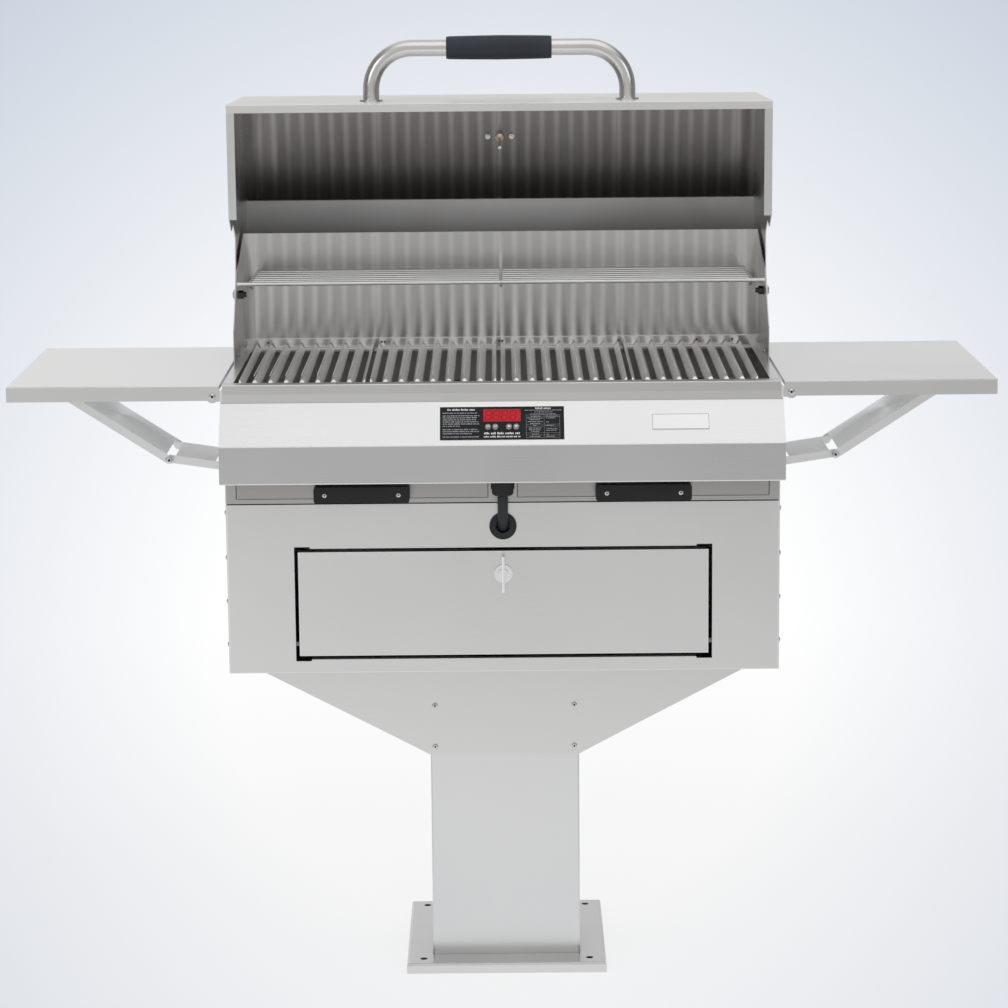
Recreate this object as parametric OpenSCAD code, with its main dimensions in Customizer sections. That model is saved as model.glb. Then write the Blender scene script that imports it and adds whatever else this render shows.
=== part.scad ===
// Pedestal electric grill: anchored column, storage cabinet, firebox, hood and folding side shelves.
// Millimetres. +X is to the right, +Y to the rear and +Z up.
// The origin is the centre of the anchor holes, on the underside of the base plate.

/* [Sheet metal] */
// Thickness of the casing sheet
sheet = 1.5; // [1:0.1:2]
// Depth of the flanges folded inwards along the casing's edges
flange = 20; // [15:1:24]
// Clearance between pieces that slide or lift out
gap = 0.3; // [0.3:0.05:0.5]
// Radial clearance of a hinge bolt in its hole
pin_gap = 0.05; // [0.03:0.01:0.08]

/* [Base and column] */
// Width of the base cover, side to side
base_w = 305; // [290:1:340]
// Depth of the base cover, front to rear
base_d = 318; // [300:1:350]
// Height of the base cover
base_h = 16; // [14:0.5:24]
// Radius of the base cover's top edges
base_edge_r = 4; // [2:0.5:6]
// Thickness of the anchor plate
plate_t = 10; // [8:0.5:12]
// Spacing of the anchor holes, side to side
anchor_w = 254; // [245:1:265]
// Spacing of the anchor holes, front to rear
anchor_d = 270; // [255:1:275]
// Diameter of the anchor holes
anchor_bore = 11; // [9:0.5:14]
// Diameter of the hole for the supply conduit
conduit_bore = 44; // [30:1:60]
// Width of the square column
column_w = 226; // [200:1:230]
// Wall of the column
column_wall = 3; // [2:0.5:5]
// Corner radius of the column
column_r = 4; // [3:0.5:8]
// Height at which the neck starts to spread
neck_z = 333; // [300:1:360]

/* [Cabinet] */
// Width of the casing
body_w = 813; // [800:1:830]
// Distance from the centre line to the cabinet's front face
cabinet_front_y = 220.5; // [215:0.5:226]
// Distance from the centre line to the rear face
body_rear_y = 190; // [184:1:196]
// Height of the cabinet's floor
cabinet_z = 488; // [478:1:498]
// Height of the cabinet
cabinet_h = 253; // [248:1:260]
// Width of the door opening
opening_w = 615; // [580:1:630]
// Height of the door opening
opening_h = 167; // [155:1:170]
// Height of the opening's lower edge over the cabinet floor
opening_sill = 20; // [18:1:26]
// Gap round the door
door_gap = 5.5; // [4:0.5:7]
// Depth of the door's folded edges
door_depth = 12; // [10:0.5:13]
// Length of the relief notches at the corners of the opening
notch_w = 23; // [15:1:30]
// Height of the relief notches
notch_h = 2.5; // [1:0.5:4]
// Height of the door's hinge pins over the lower edge of the opening
door_pin_rise = 22; // [21:0.5:26]
// Diameter of the door's hinge pins
door_pin_d = 5; // [4:0.5:6]
// Height of the supply cord's hole over the cabinet floor
cord_hole_rise = 219; // [215:1:225]

/* [Firebox] */
// Height of the dark seam between cabinet and firebox
seam_h = 2; // [1.5:0.5:4]
// Height of the firebox
firebox_h = 177; // [172:1:182]
// Distance from the centre line to the firebox's front face
fascia_y = 222; // [221.5:0.5:226]
// Width of the flange along the top of the side walls
side_ledge_w = 14.5; // [10:0.5:16]
// Depth of the front rim over the fascia
rim_out = 8; // [6:0.5:11]
// Height of the front rim
rim_h = 27; // [20:1:30]
// Width of a grease tray
tray_w = 368; // [350:1:370]
// Height of a grease tray
tray_h = 29; // [24:1:30]
// Length of a grease tray
tray_len = 370; // [300:1:390]
// Distance from the centre line to the middle of a tray
tray_x = 206; // [202:1:208]
// Gap round the trays in their windows
tray_gap = 1; // [0.5:0.5:3]
// Width of a tray handle
tray_handle_w = 140; // [100:1:180]
// Reach of a tray handle
tray_handle_out = 23; // [18:1:28]

/* [Console] */
// Width of the console
console_w = 820; // [818:1:836]
// Reach of the console's upper edge over the fascia
console_top_out = 8.5; // [6.5:0.5:11.5]
// Reach of the console's lower edge of the slope over the fascia
console_out = 53.5; // [50:0.5:60]
// Drop of the sloping face
slope_drop = 57; // [52:1:62]
// Height of the lower face
console_face_h = 55; // [45:1:60]
// Width of the display
display_w = 180; // [150:1:220]
// Height of the display along the slope
display_h = 54; // [48:1:58]
// Diameter of a button
button_d = 9.7; // [8:0.1:10]
// Travel of a button
button_travel = 1.2; // [0.8:0.1:1.5]

/* [Grates] */
// Distance between the bars of a grate
bar_pitch = 23.1; // [22:0.1:23.6]
// Width of a bar
bar_w = 14; // [12:0.5:17]
// Width of a bar's flat top
bar_top_w = 2.5; // [2.2:0.1:4]
// Height of a bar
bar_h = 10; // [8:0.5:14]
// Length of a grate
grate_len = 365; // [340:1:366]
// Tilt of the grates, in degrees
grate_tilt = 1.1; // [0.8:0.1:1.3]
// Diameter of the heating elements
element_d = 8; // [6:0.5:10]
// Distance between the runs of a heating element
element_pitch = 60; // [50:1:62]

/* [Hood] */
// Width of the hood
hood_w = 818; // [817:1:840]
// Opening angle of the hood, in degrees
hood_open = 88.5; // [80:0.5:90]
// Height of the hood's pivot over the firebox
pivot_rise = 97; // [92:1:100]
// Distance from the centre line to the hood's pivot
pivot_y = 75; // [70:1:78]
// Diameter of the hood's pivot bolts
pivot_d = 8; // [6:0.5:10]
// Height of the backsplash
backsplash_h = 182; // [160:1:184]
// Diameter of the handle's tube
handle_d = 25.4; // [20:0.1:32]
// Distance between the handle's legs
handle_w = 390; // [300:1:500]
// Stand of the handle over the hood
handle_out = 80; // [70:1:95]
// Radius of the handle's bends
handle_bend_r = 62; // [40:1:66]
// Length of the grip
grip_len = 160; // [120:1:200]
// Diameter of the grip
grip_d = 37; // [34:0.5:42]
// Rise of the warming rack over the firebox
rack_rise = 122; // [115:1:140]
// Diameter of the rack's rods
rod_d = 5; // [4:0.5:6]
// Number of rods of the rack
rod_count = 7; // [5:1:8]

/* [Side shelves] */
// Length of a shelf, from its inner to its outer edge
shelf_len = 309.5; // [290:1:330]
// Depth of a shelf, front to rear
shelf_d = 424; // [380:1:440]
// Height of a shelf's apron
apron_h = 22; // [18:1:26]
// Gap between the casing and a shelf
shelf_gap = 4.5; // [4:0.5:6]
// Width of the upper link
upper_link_w = 150; // [130:1:170]
// Width of the lower link
lower_link_w = 125; // [100:1:128]
// Height of the links' sides
link_h = 12; // [10:0.5:14]

/* [Hidden] */

// Colours
steel = "#c4c6c8";
bright_steel = "#dcdee0";
dark_steel = "#8f8f8d";
black_plastic = "#1d1e20";
rubber = "#2a2d33";
red_lens = "#b01820";
brass = "#b08a4a";

// Smoothness of round pieces
$fn = 48;
// Overrun of every cut
cut = 1;

// Heights of the main pieces
cabinet_top = cabinet_z + cabinet_h;
firebox_z = cabinet_top + seam_h;
firebox_top = firebox_z + firebox_h;

// Casing
body_x = body_w / 2;
inner_x = body_x - sheet;
rear_y = body_rear_y;
rear_in_y = body_rear_y - sheet;
cabinet_in_y = -cabinet_front_y + sheet;
fascia_in_y = -fascia_y + sheet;

// Column and neck
column_x = column_w / 2;
cover_gap = 0.5;
neck_top_inset = 0.5;
neck_top_x = body_x - neck_top_inset;
neck_angle = atan((cabinet_z - neck_z) / (neck_top_x - column_x));
slope_rise = sheet / cos(neck_angle);
neck_screw_inset = 7.3;
neck_screw_x = column_x - neck_screw_inset;
neck_screw_rise = 12.5;
neck_screw_step = 64;

// Casing screws
screw_d = 5;
screw_head_d = 8.8;
screw_head_h = 2.6;
screw_socket_d = 4.4;
screw_socket_deep = 1.6;
screw_head_shares = [[0.5, 0], [0.5, 0.35], [0.36, 0.85], [0.28, 1]];
screw_len = 8;
screw_edge = 11.5;
side_screw_rises = [42, 107, 173, 240];

// Door opening and door
sill_z = cabinet_z + opening_sill;
lintel_z = sill_z + opening_h;
opening_x = opening_w / 2;
jamb_depth = 15;
door_x = opening_x - door_gap;
door_z0 = sill_z + door_gap;
door_z1 = lintel_z - door_gap;
door_pin_z = sill_z + door_pin_rise;
door_pin_back = 10.5;
door_pin_y = -cabinet_front_y + door_pin_back;
door_pin_reach = 5;
door_pin_head_d = 9;
door_pin_head_h = 2;

// Door latch
latch_rise = 44;
latch_z = (door_z0 + door_z1) / 2 + latch_rise;
latch_rose_d = 27;
latch_rose_t = 3;
latch_neck_d = 10;
latch_bar_d = 5;
latch_bar_len = 54;
latch_boss_d = 15;
latch_boss_t = 4;
latch_cam_w = 16;
latch_cam_t = 3;
latch_cam_behind = 4;
latch_cam_lap = 9;
latch_cam_reach = lintel_z - latch_z + latch_cam_lap;
latch_cam_y = -cabinet_front_y + jamb_depth + latch_cam_behind;
latch_nut_d = 14;
latch_nut_t = 5;

// Supply cord
cord_d = 15;
cord_bend_r = 4 * cord_d;
cord_hole_z = cabinet_z + cord_hole_rise;
cord_drop_out = 25;
cord_drop_y = -fascia_y - cord_drop_out;
cord_bend_y = cord_drop_y + cord_bend_r;
cord_hole_mid_y = -cabinet_front_y + sheet / 2;
cord_entry_angle = acos((cord_bend_y - cord_hole_mid_y) / cord_bend_r);
cord_bend_z = cord_hole_z + cord_bend_r * sin(cord_entry_angle);
cord_inside_z = cord_bend_z - cord_bend_r;
grommet_d = 40;
grommet_neck_d = 32;
grommet_bore = 21;
grommet_lip = 2.5;
relief_d = 34.6;
relief_nut_d = 31.5;
relief_nut_h = 9.5;
relief_nut_r = 5;
box_w = 100;
box_h = 60;
box_nut_d = 24;
box_nut_h = 6;

// Grease trays and their windows
window_r = 1.5 * tray_gap;
tray_rise = 7;
tray_z = firebox_z + tray_rise;
tray_front_y = -fascia_y + tray_gap;
tray_wall = 1.2;
tray_lip = 5;
window_x = tray_w / 2 + tray_gap;
window_z0 = tray_z - tray_gap / 2;
window_z1 = tray_z + tray_h + tray_gap / 2;
runner_w = 16;
runner_h = 17;
runner_under = 6;
handle_plate_t = 3;
handle_top_rise = 20.2;
handle_lip_drop = 3.3;
handle_corner_r = 4;

// Inside the firebox
element_rise = 127;
element_z = firebox_z + element_rise;
element_runs = 6;
element_mid_x = 190;
element_front_y = -140;
element_rear_y = 95;
terminal_out = 16;
rail_t = 4;
rail_h = 18;
rail_ys = [-105, 60];
drip_lip = 8;
drip_side_rise = 89;
drip_slot_rise = 49;
drip_slot_w = 44;
spacer_w = 12;
front_top_gap = 1.5;
control_port_rise = 6;
control_port_h = 9;

// Console, from the fascia outwards
rim_y = -fascia_y - rim_out;
rim_z = firebox_top - rim_h;
rim_back = 15;
rim_crease_rise = 13;
rim_crease_in = 0.8;
ledge_drop = 8.5;
ledge_w = 12;
slope_top_y = -fascia_y - console_top_out;
slope_low_y = -fascia_y - console_out;
slope_low_z = rim_z - slope_drop;
console_z = slope_low_z - console_face_h;
console_lean = 1.5;
console_return = 15;
console_end_lap = 15;
slope_run = slope_top_y - slope_low_y;
slope_angle = atan(slope_drop / slope_run);
label_t = 1.2;
window_w = 54;
window_h = 20.2;
window_up = 12.6;
window_deep = 0.6;
button_row = -7;
button_inner_x = 9.9;
button_outer_x = 20.5;
button_dome = 1.6;
button_dome_shares = [[0.88, 0.55], [0.55, 0.9], [0, 1]];
button_gap = 0.1;
button_stem_d = 5;
button_stem_len = 8;
badge_w = 82;
badge_h = 25;
badge_x = 259;
badge_t = 1;
box_gap = 1;
control_w = 150;
control_h = 34;

// Grates
grate_count = 4;
grate_bays = 8;
grate_side_gap = 6.8;
grate_step = grate_bays * bar_pitch + grate_side_gap;
grate_shift = -4.6;
grate_front_gap = 2;
grate_rear_gap = 5;
grate_strip_w = 14;
grate_strip_t = 3;
ledge_y = -fascia_y + rim_back;
ledge_z = firebox_top - ledge_drop;
grate_front_y = ledge_y + grate_front_gap;
grate_z = ledge_z + gap;
grate_end_slope = 9;
rear_ledge_z = grate_z + grate_len * sin(grate_tilt) - 2 * gap;
rear_ledge_y = grate_front_y + grate_len + grate_rear_gap;
rear_ledge_w = 17;

// Hood: corners of its closed profile, from the pivot
pivot_z = firebox_top + pivot_rise;
pivot = [0, pivot_y, pivot_z];
hood_front_out = 1.2;
hood_low_gap = 5.3;
hood_front_lean = 12.9;
hood_front_h = 313.7;
hood_top_run = 167.9;
hood_top_rise = 37.3;
hood_rear_run = 196.9;
hood_rear_drop = 142.3;
hood_low = [-fascia_y - pivot_y - hood_front_out, -pivot_rise + hood_low_gap];
hood_front_top = hood_low + [hood_front_lean, hood_front_h];
hood_rear_top = hood_front_top + [hood_top_run, hood_top_rise];
hood_rear_low = hood_rear_top + [hood_rear_run, -hood_rear_drop];
hood_corners = [hood_low, hood_front_top, hood_rear_top, hood_rear_low];
hood_hem = 12;
hood_side_hem_w = 12;
hood_side_hem_len = 172;
hood_end_x = hood_w / 2 - sheet;
hood_boss_r = 14;
hood_end_shares = [[0.694, 0.303], [0.561, 0.335], [0.493, 0.201], [0.511, 0.108]];
handle_up = 95;
handle_foot_d = 36;
handle_foot_t = 3;
probe_along = 105;
probe_len = 65;
probe_d = 5;
probe_fitting_d = 14;
probe_fitting_h = 12;
probe_stud_x = 19;
probe_stud_d = 5;
probe_stud_h = 14;
probe_nut_d = 9;
probe_nut_h = 7;
dial_d = 76;
dial_t = 14;
grip_shares = [[-1, 0.9], [-0.94, 0.94], [-0.6, 0.97], [0, 1], [0.6, 0.97], [0.94, 0.94], [1, 0.9]];

// Backsplash and wings
backsplash_gap = 8.5;
backsplash_y = grate_front_y + grate_len + backsplash_gap;
backsplash_lip = 6;
backsplash_foot_h = 15.5;
backsplash_foot_out = 5;
wing_front_y = -42;
wing_curve_shares = [[0.01, 0.307], [0.373, 0.732], [1, 1]];
wing_inset = 2;
wing_inner_x = body_x - sheet - wing_inset;
rack_z = firebox_top + rack_rise;
rack_front_y = -5;
rack_pitch = 28;
rack_side_gap = 3;
rack_rear_inset = 17;
rack_reach = wing_inner_x - rack_side_gap;
rack_rear_reach = rack_reach - rack_rear_inset;
rack_front_d = rod_d + 1;
rack_tab_y = 40;
rack_tab_w = 12;
rack_tab_t = 2;
rack_hook_x = 300;
nut_d = 13;
nut_h = 6.5;
bolt_end = 4.5;
bolt_head_d = 16;
bolt_head_h = 4;
bolt_socket_d = 5.5;
bolt_socket_deep = 2.2;

// Shelves and struts: pivots in the (x, z) plane of the right side
shelf_x0 = body_x + shelf_gap;
shelf_x1 = shelf_x0 + shelf_len;
shelf_front_out = 11;
shelf_y0 = -fascia_y - shelf_front_out;
shelf_z = firebox_top;
shelf_pin_out = 14.5;
shelf_pin_drop = 16;
shelf_pin = [body_x + shelf_pin_out, shelf_z - shelf_pin_drop];
shelf_ear_r = 9.5;
shelf_bolt_d = 6;
shelf_head_d = 9.5;
shelf_head_h = 3;
strut_y = shelf_y0 + shelf_d / 2;
strut_root_out = 13.5;
strut_root_drop = 144;
strut_knee_out = 94;
strut_knee_drop = 132;
strut_tip_inset = 36.5;
strut_tip_drop = 13;
strut_root = [body_x + strut_root_out, shelf_z - strut_root_drop];
strut_knee = [body_x + strut_knee_out, shelf_z - strut_knee_drop];
strut_tip = [shelf_x1 - strut_tip_inset, shelf_z - strut_tip_drop];
strut_bolt_d = 6;
strut_head_d = 11;
strut_head_h = 3;
lug_t = 3;
lug_r = 8;
lug_base_t = 2.5;
lug_base_h = 46;
web_cut_lug = 13;
web_cut_knee = 8;
hinge_plate_w = 60;

function unit(v) = v / norm(v);
function left_of(v) = [-v[1], v[0]];
function mitre(points, i, away) =
    let (last = len(points) - 1)
    i == 0 ? points[0] + away * left_of(unit(points[1] - points[0]))
    : i == last ? points[i] + away * left_of(unit(points[i] - points[i - 1]))
    : let (
        before = left_of(unit(points[i] - points[i - 1])),
        after = left_of(unit(points[i + 1] - points[i]))
    ) points[i] + away * (before + after) / (1 + before * after);

// A sheet's section, its thickness laid to the left of the path
module folded(points, t = sheet)
    polygon(concat(
        [for (i = [0 : len(points) - 1]) points[i]],
        [for (i = [len(points) - 1 : -1 : 0]) mitre(points, i, t)]
    ));

module block(low, high) translate(low) cube(high - low);

// Extrudes a (y, z) section along x, centred
module along_x(width) translate([-width / 2, 0, 0]) rotate([90, 0, 90]) linear_extrude(width) children();

// Extrudes an (x, z) section along y
module along_y(front, rear)
    translate([0, rear, 0]) rotate([90, 0, 0]) linear_extrude(rear - front) children();

module mirrored() {
    children();
    mirror([1, 0, 0]) children();
}

// A cylinder along x or y from one place to another
module rod_x(d, x0, x1) translate([x0, 0, 0]) rotate([0, 90, 0]) cylinder(d = d, h = x1 - x0);
module rod_y(d, y0, y1) translate([0, y0, 0]) rotate([-90, 0, 0]) cylinder(d = d, h = y1 - y0);

module rounded_rect(w, d, r) {
    square([w - 2 * r, d], center = true);
    square([w, d - 2 * r], center = true);
    for (x = [-1, 1], y = [-1, 1]) translate([x * (w / 2 - r), y * (d / 2 - r)]) circle(r);
}

// Button-head screw along +z, its seat at z = 0
module screw(d, head_d, head_h, len, socket_d, socket_deep) {
    difference() {
        rotate_extrude() polygon(concat(
            [[0, -len], [d / 2, -len], [d / 2, 0]],
            [for (share = screw_head_shares) [head_d * share[0], head_h * share[1]]],
            [[0, head_h]]
        ));
        translate([0, 0, head_h - socket_deep]) cylinder(d = socket_d, h = socket_deep + cut, $fn = 6);
    }
}

module casing_screw()
    screw(screw_d, screw_head_d, screw_head_h, screw_len, screw_socket_d, screw_socket_deep);

// Base and column

module anchor_places() {
    for (x = [-1, 1], y = [-1, 1]) translate([x * anchor_w / 2, y * anchor_d / 2, -cut]) children();
}

module base_plate() {
    inset = 2 * (sheet + cover_gap);
    color(dark_steel) difference() {
        linear_extrude(plate_t) rounded_rect(base_w - inset, base_d - inset, column_r);
        anchor_places() cylinder(d = anchor_bore, h = plate_t + 2 * cut);
        translate([0, 0, -cut]) cylinder(d = conduit_bore, h = plate_t + 2 * cut);
    }
}

// A box's section with its upper corners rounded
module cover_section(w, h, r) {
    translate([-w / 2, 0]) square([w, h - r]);
    translate([-w / 2 + r, 0]) square([w - 2 * r, h]);
    for (x = [-1, 1]) translate([x * (w / 2 - r), h - r]) circle(r);
}

module base_cover() {
    hole = column_w + 2 * cover_gap;
    color(steel) difference() {
        intersection() {
            along_x(base_w) cover_section(base_d, base_h, base_edge_r);
            along_y(-base_d / 2, base_d / 2) cover_section(base_w, base_h, base_edge_r);
        }
        block(
            [-base_w / 2 + sheet, -base_d / 2 + sheet, -cut],
            [base_w / 2 - sheet, base_d / 2 - sheet, base_h - sheet]
        );
        translate([0, 0, -cut]) linear_extrude(base_h + 2 * cut) rounded_rect(hole, hole, column_r);
        anchor_places() cylinder(d = anchor_bore, h = base_h + 2 * cut);
    }
}

module neck_screw_places() {
    for (x = [-1, 1], step = [0, 1])
        translate([x * neck_screw_x, 0, neck_z + neck_screw_rise + step * neck_screw_step]) children();
}

module column() {
    color(steel) difference() {
        translate([0, 0, plate_t]) linear_extrude(cabinet_z - plate_t) difference() {
            rounded_rect(column_w, column_w, column_r);
            square(column_w - 2 * column_wall, center = true);
        }
        neck_screw_places() rod_y(screw_d, -column_w, column_w);
    }
}

module neck_plate(y)
    difference() {
        along_y(y, y + sheet) polygon([
            [-column_x, neck_z], [column_x, neck_z], [neck_top_x, cabinet_z], [-neck_top_x, cabinet_z]
        ]);
        neck_screw_places() rod_y(screw_d, -column_w, column_w);
    }

module neck_front() {
    color(steel) {
        neck_plate(-column_x - sheet);
        mirrored() along_y(-column_x, column_x) polygon([
            [column_x, neck_z], [neck_top_x, cabinet_z - slope_rise],
            [neck_top_x, cabinet_z], [column_x, neck_z + slope_rise]
        ]);
    }
}

module neck_rear() color(steel) neck_plate(column_x);

module side_screw_places() {
    for (rise = side_screw_rises)
        translate([body_x, -cabinet_front_y + screw_edge, cabinet_z + rise]) rotate([0, 90, 0]) children();
}

module casing_screws() {
    color(bright_steel) {
        neck_screw_places() translate([0, -column_x - sheet, 0]) rotate([90, 0, 0]) casing_screw();
        neck_screw_places() translate([0, column_x + sheet, 0]) rotate([-90, 0, 0]) casing_screw();
        mirrored() side_screw_places() casing_screw();
    }
}

// Cabinet

module cabinet_floor() {
    upstand = opening_sill - 2 * sheet - door_gap / 2;
    color(dark_steel) difference() {
        along_x(2 * inner_x - 2 * sheet) folded([
            [cabinet_in_y, cabinet_z + upstand], [cabinet_in_y, cabinet_z],
            [rear_in_y, cabinet_z], [rear_in_y, cabinet_z + upstand]
        ]);
        translate([0, 0, cabinet_z - cut]) cylinder(d = conduit_bore, h = sheet + 2 * cut);
    }
}

// A front panel's plan: a sheet with returns along the side walls
module front_plan(front_y)
    folded([
        [-inner_x, front_y + flange], [-inner_x, front_y], [inner_x, front_y], [inner_x, front_y + flange]
    ]);

module cabinet_front() {
    deep = -cabinet_front_y + jamb_depth;
    color(steel) {
        difference() {
            union() {
                translate([0, 0, cabinet_z]) linear_extrude(cabinet_h) front_plan(-cabinet_front_y);
                block(
                    [-inner_x + sheet, cabinet_in_y, cabinet_top - sheet],
                    [inner_x - sheet, -cabinet_front_y + flange, cabinet_top]
                );
            }
            block([-opening_x, -cabinet_front_y - cut, sill_z], [opening_x, cabinet_in_y + cut, lintel_z]);
            for (x = [-1, 1], z = [sill_z, lintel_z])
                translate([x * (opening_x - notch_w / 2), 0, z])
                    cube([notch_w, 2 * cabinet_front_y + 2 * sheet, 2 * notch_h], center = true);
            translate([0, 0, cord_hole_z]) rod_y(grommet_neck_d, -cabinet_front_y - cut, cabinet_in_y + cut);
            mirrored() side_screw_places() translate([0, 0, -screw_len - cut])
                cylinder(d = screw_d, h = screw_len + cut);
        }
        for (z = [sill_z - sheet, lintel_z])
            block([-opening_x + notch_w, cabinet_in_y, z], [opening_x - notch_w, deep, z + sheet]);
        difference() {
            mirrored() block(
                [opening_x, cabinet_in_y, sill_z], [opening_x + sheet, deep, lintel_z]
            );
            translate([0, door_pin_y, door_pin_z]) rod_x(door_pin_d, -body_x, body_x);
        }
    }
}

module cabinet_wrap() {
    front = -cabinet_front_y + flange;
    color(steel) difference() {
        union() {
            translate([0, 0, cabinet_z]) linear_extrude(cabinet_h) folded([
                [body_x, -cabinet_front_y], [body_x, rear_y], [-body_x, rear_y], [-body_x, -cabinet_front_y]
            ]);
            mirrored()
                block([inner_x - flange, front, cabinet_top - sheet], [inner_x, rear_in_y, cabinet_top]);
            block(
                [-inner_x + flange, rear_in_y - flange, cabinet_top - sheet],
                [inner_x - flange, rear_in_y, cabinet_top]
            );
        }
        mirrored() side_screw_places()
            translate([0, 0, -screw_len]) cylinder(d = screw_d, h = screw_len + cut);
    }
}

module cord_grommet() {
    lip_y = -cabinet_front_y - grommet_lip;
    color(rubber) difference() {
        translate([0, 0, cord_hole_z]) union() {
            rod_y(grommet_d, lip_y, -cabinet_front_y);
            rod_y(grommet_neck_d, lip_y, cabinet_in_y + grommet_lip);
            rod_y(grommet_d, cabinet_in_y, cabinet_in_y + grommet_lip);
        }
        translate([0, 0, cord_hole_z]) rod_y(grommet_bore, lip_y - cut, cabinet_in_y + grommet_lip + cut);
        translate([0, cord_hole_mid_y, cord_hole_z]) rotate([cord_entry_angle, 0, 0])
            cylinder(d = cord_d + 4 * gap, h = grommet_d, center = true);
    }
}

module junction_box() {
    z0 = cabinet_z + sheet;
    color(dark_steel) {
        translate([0, 0, z0]) linear_extrude(box_h) rounded_rect(box_w, box_w, column_r);
        translate([0, 0, z0 + box_h]) cylinder(d = box_nut_d, h = box_nut_h, $fn = 6);
    }
}

module door_hinge_pins() {
    inner_x = door_x - sheet - door_pin_reach;
    outer_x = opening_x + sheet;
    color(bright_steel) mirrored() translate([0, door_pin_y, door_pin_z]) {
        rod_x(door_pin_d, inner_x, outer_x);
        rod_x(door_pin_head_d, outer_x, outer_x + door_pin_head_h);
        rod_x(door_pin_head_d, door_x + gap, opening_x);
    }
}

module seam_spacer() {
    z = [cabinet_top, firebox_z];
    x = inner_x - spacer_w;
    front = -cabinet_front_y + flange;
    color(black_plastic) difference() {
        block([-x, front - spacer_w, z[0]], [x, rear_in_y - spacer_w, z[1]]);
        block([-x + spacer_w, front, z[0] - cut], [x - spacer_w, rear_in_y - 2 * spacer_w, z[1] + cut]);
    }
}

// Firebox

module tray_window()
    translate([tray_x, 0]) {
        translate([-window_x, window_z0 + window_r]) square([2 * window_x, window_z1 - window_z0 - window_r]);
        translate([-window_x + window_r, window_z0]) square([2 * (window_x - window_r), 2 * window_r]);
        for (x = [-1, 1]) translate([x * (window_x - window_r), window_z0 + window_r]) circle(window_r);
    }

module firebox_front() {
    top = firebox_top - sheet - front_top_gap;
    port_z = console_z + control_port_rise;
    color(steel) difference() {
        union() {
            translate([0, 0, firebox_z]) linear_extrude(top - firebox_z) front_plan(-fascia_y);
            block(
                [-inner_x + sheet, fascia_in_y, firebox_z],
                [inner_x - sheet, -fascia_y + flange, firebox_z + sheet]
            );
        }
        mirrored() along_y(-fascia_y - cut, fascia_in_y + cut) tray_window();
        mirrored() for (run = [0, element_runs - 1])
            translate([element_run_x(run), 0, element_z])
                rod_y(element_d + 2 * gap, -fascia_y - cut, fascia_in_y + cut);
        block(
            [-control_w / 2 + gap, -fascia_y - cut, port_z],
            [control_w / 2 - gap, fascia_in_y + cut, port_z + control_port_h]
        );
    }
}

module firebox_wrap() {
    front = -fascia_y + flange;
    color(steel) {
        difference() {
            translate([0, 0, firebox_z]) linear_extrude(firebox_h) folded([
                [body_x, -fascia_y], [body_x, rear_y], [-body_x, rear_y], [-body_x, -fascia_y]
            ]);
            block(
                [-body_x - cut, -fascia_y - cut, firebox_top - sheet],
                [body_x + cut, ledge_y, firebox_top + cut]
            );
        }
        mirrored() block([inner_x - flange, front, firebox_z], [inner_x, rear_in_y, firebox_z + sheet]);
        block(
            [-inner_x + flange, rear_in_y - flange, firebox_z],
            [inner_x - flange, rear_in_y, firebox_z + sheet]
        );
        mirrored() block(
            [body_x - side_ledge_w, ledge_y + gap, firebox_top - sheet],
            [inner_x, rear_in_y, firebox_top]
        );
        along_x(2 * (body_x - side_ledge_w)) folded([
            [rear_in_y, firebox_top], [rear_ledge_y, firebox_top],
            [rear_ledge_y, rear_ledge_z], [rear_ledge_y - rear_ledge_w, rear_ledge_z]
        ]);
    }
}

module drip_floor() {
    side_z = firebox_z + drip_side_rise;
    slot_z = firebox_z + drip_slot_rise;
    lip = drip_lip;
    color(dark_steel) {
        for (side = [-1, 1]) along_y(fascia_in_y, rear_in_y) folded(side > 0 ? [
            [tray_x + drip_slot_w / 2, slot_z - lip], [tray_x + drip_slot_w / 2, slot_z],
            [inner_x - sheet, side_z], [inner_x - sheet, side_z + lip]
        ] : [
            [-inner_x + sheet, side_z + lip], [-inner_x + sheet, side_z],
            [-tray_x - drip_slot_w / 2, slot_z], [-tray_x - drip_slot_w / 2, slot_z - lip]
        ]);
        along_y(fascia_in_y, rear_in_y) folded([
            [-tray_x + drip_slot_w / 2, slot_z - lip], [-tray_x + drip_slot_w / 2, slot_z],
            [0, side_z], [tray_x - drip_slot_w / 2, slot_z], [tray_x - drip_slot_w / 2, slot_z - lip]
        ]);
    }
}

// Angle rails under the trays' edges
module tray_runners() {
    top = tray_z - gap;
    side = tray_w / 2 + runner_under;
    color(dark_steel) mirrored() translate([tray_x, 0, 0]) mirrored()
        along_y(fascia_in_y, rear_in_y) folded([
            [side - runner_w, top - sheet], [side, top - sheet], [side, top + runner_h]
        ]);
}

function element_run_x(run) = element_mid_x + (run - (element_runs - 1) / 2) * element_pitch;

// One sheathed heating rod: straight runs joined by half-turns, both ends through the fascia
module heating_element() {
    r = element_pitch / 2;
    for (run = [0 : element_runs - 1]) {
        end = run == 0 || run == element_runs - 1;
        translate([element_run_x(run), 0, element_z])
            rod_y(element_d, end ? -fascia_y - terminal_out : element_front_y, element_rear_y);
    }
    for (bend = [0 : element_runs - 2]) {
        rear = bend % 2 == 0;
        translate([element_run_x(bend) + r, rear ? element_rear_y : element_front_y, element_z])
            rotate([0, 0, rear ? 0 : 180])
                rotate_extrude(angle = 180) translate([r, 0]) circle(d = element_d);
    }
}

module heating_elements() color(dark_steel) mirrored() heating_element();

module element_rails() {
    top = element_z - element_d / 2 - gap;
    color(steel) for (y = rail_ys)
        block([-inner_x, y - rail_t / 2, top - rail_h], [inner_x, y + rail_t / 2, top]);
}

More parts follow.
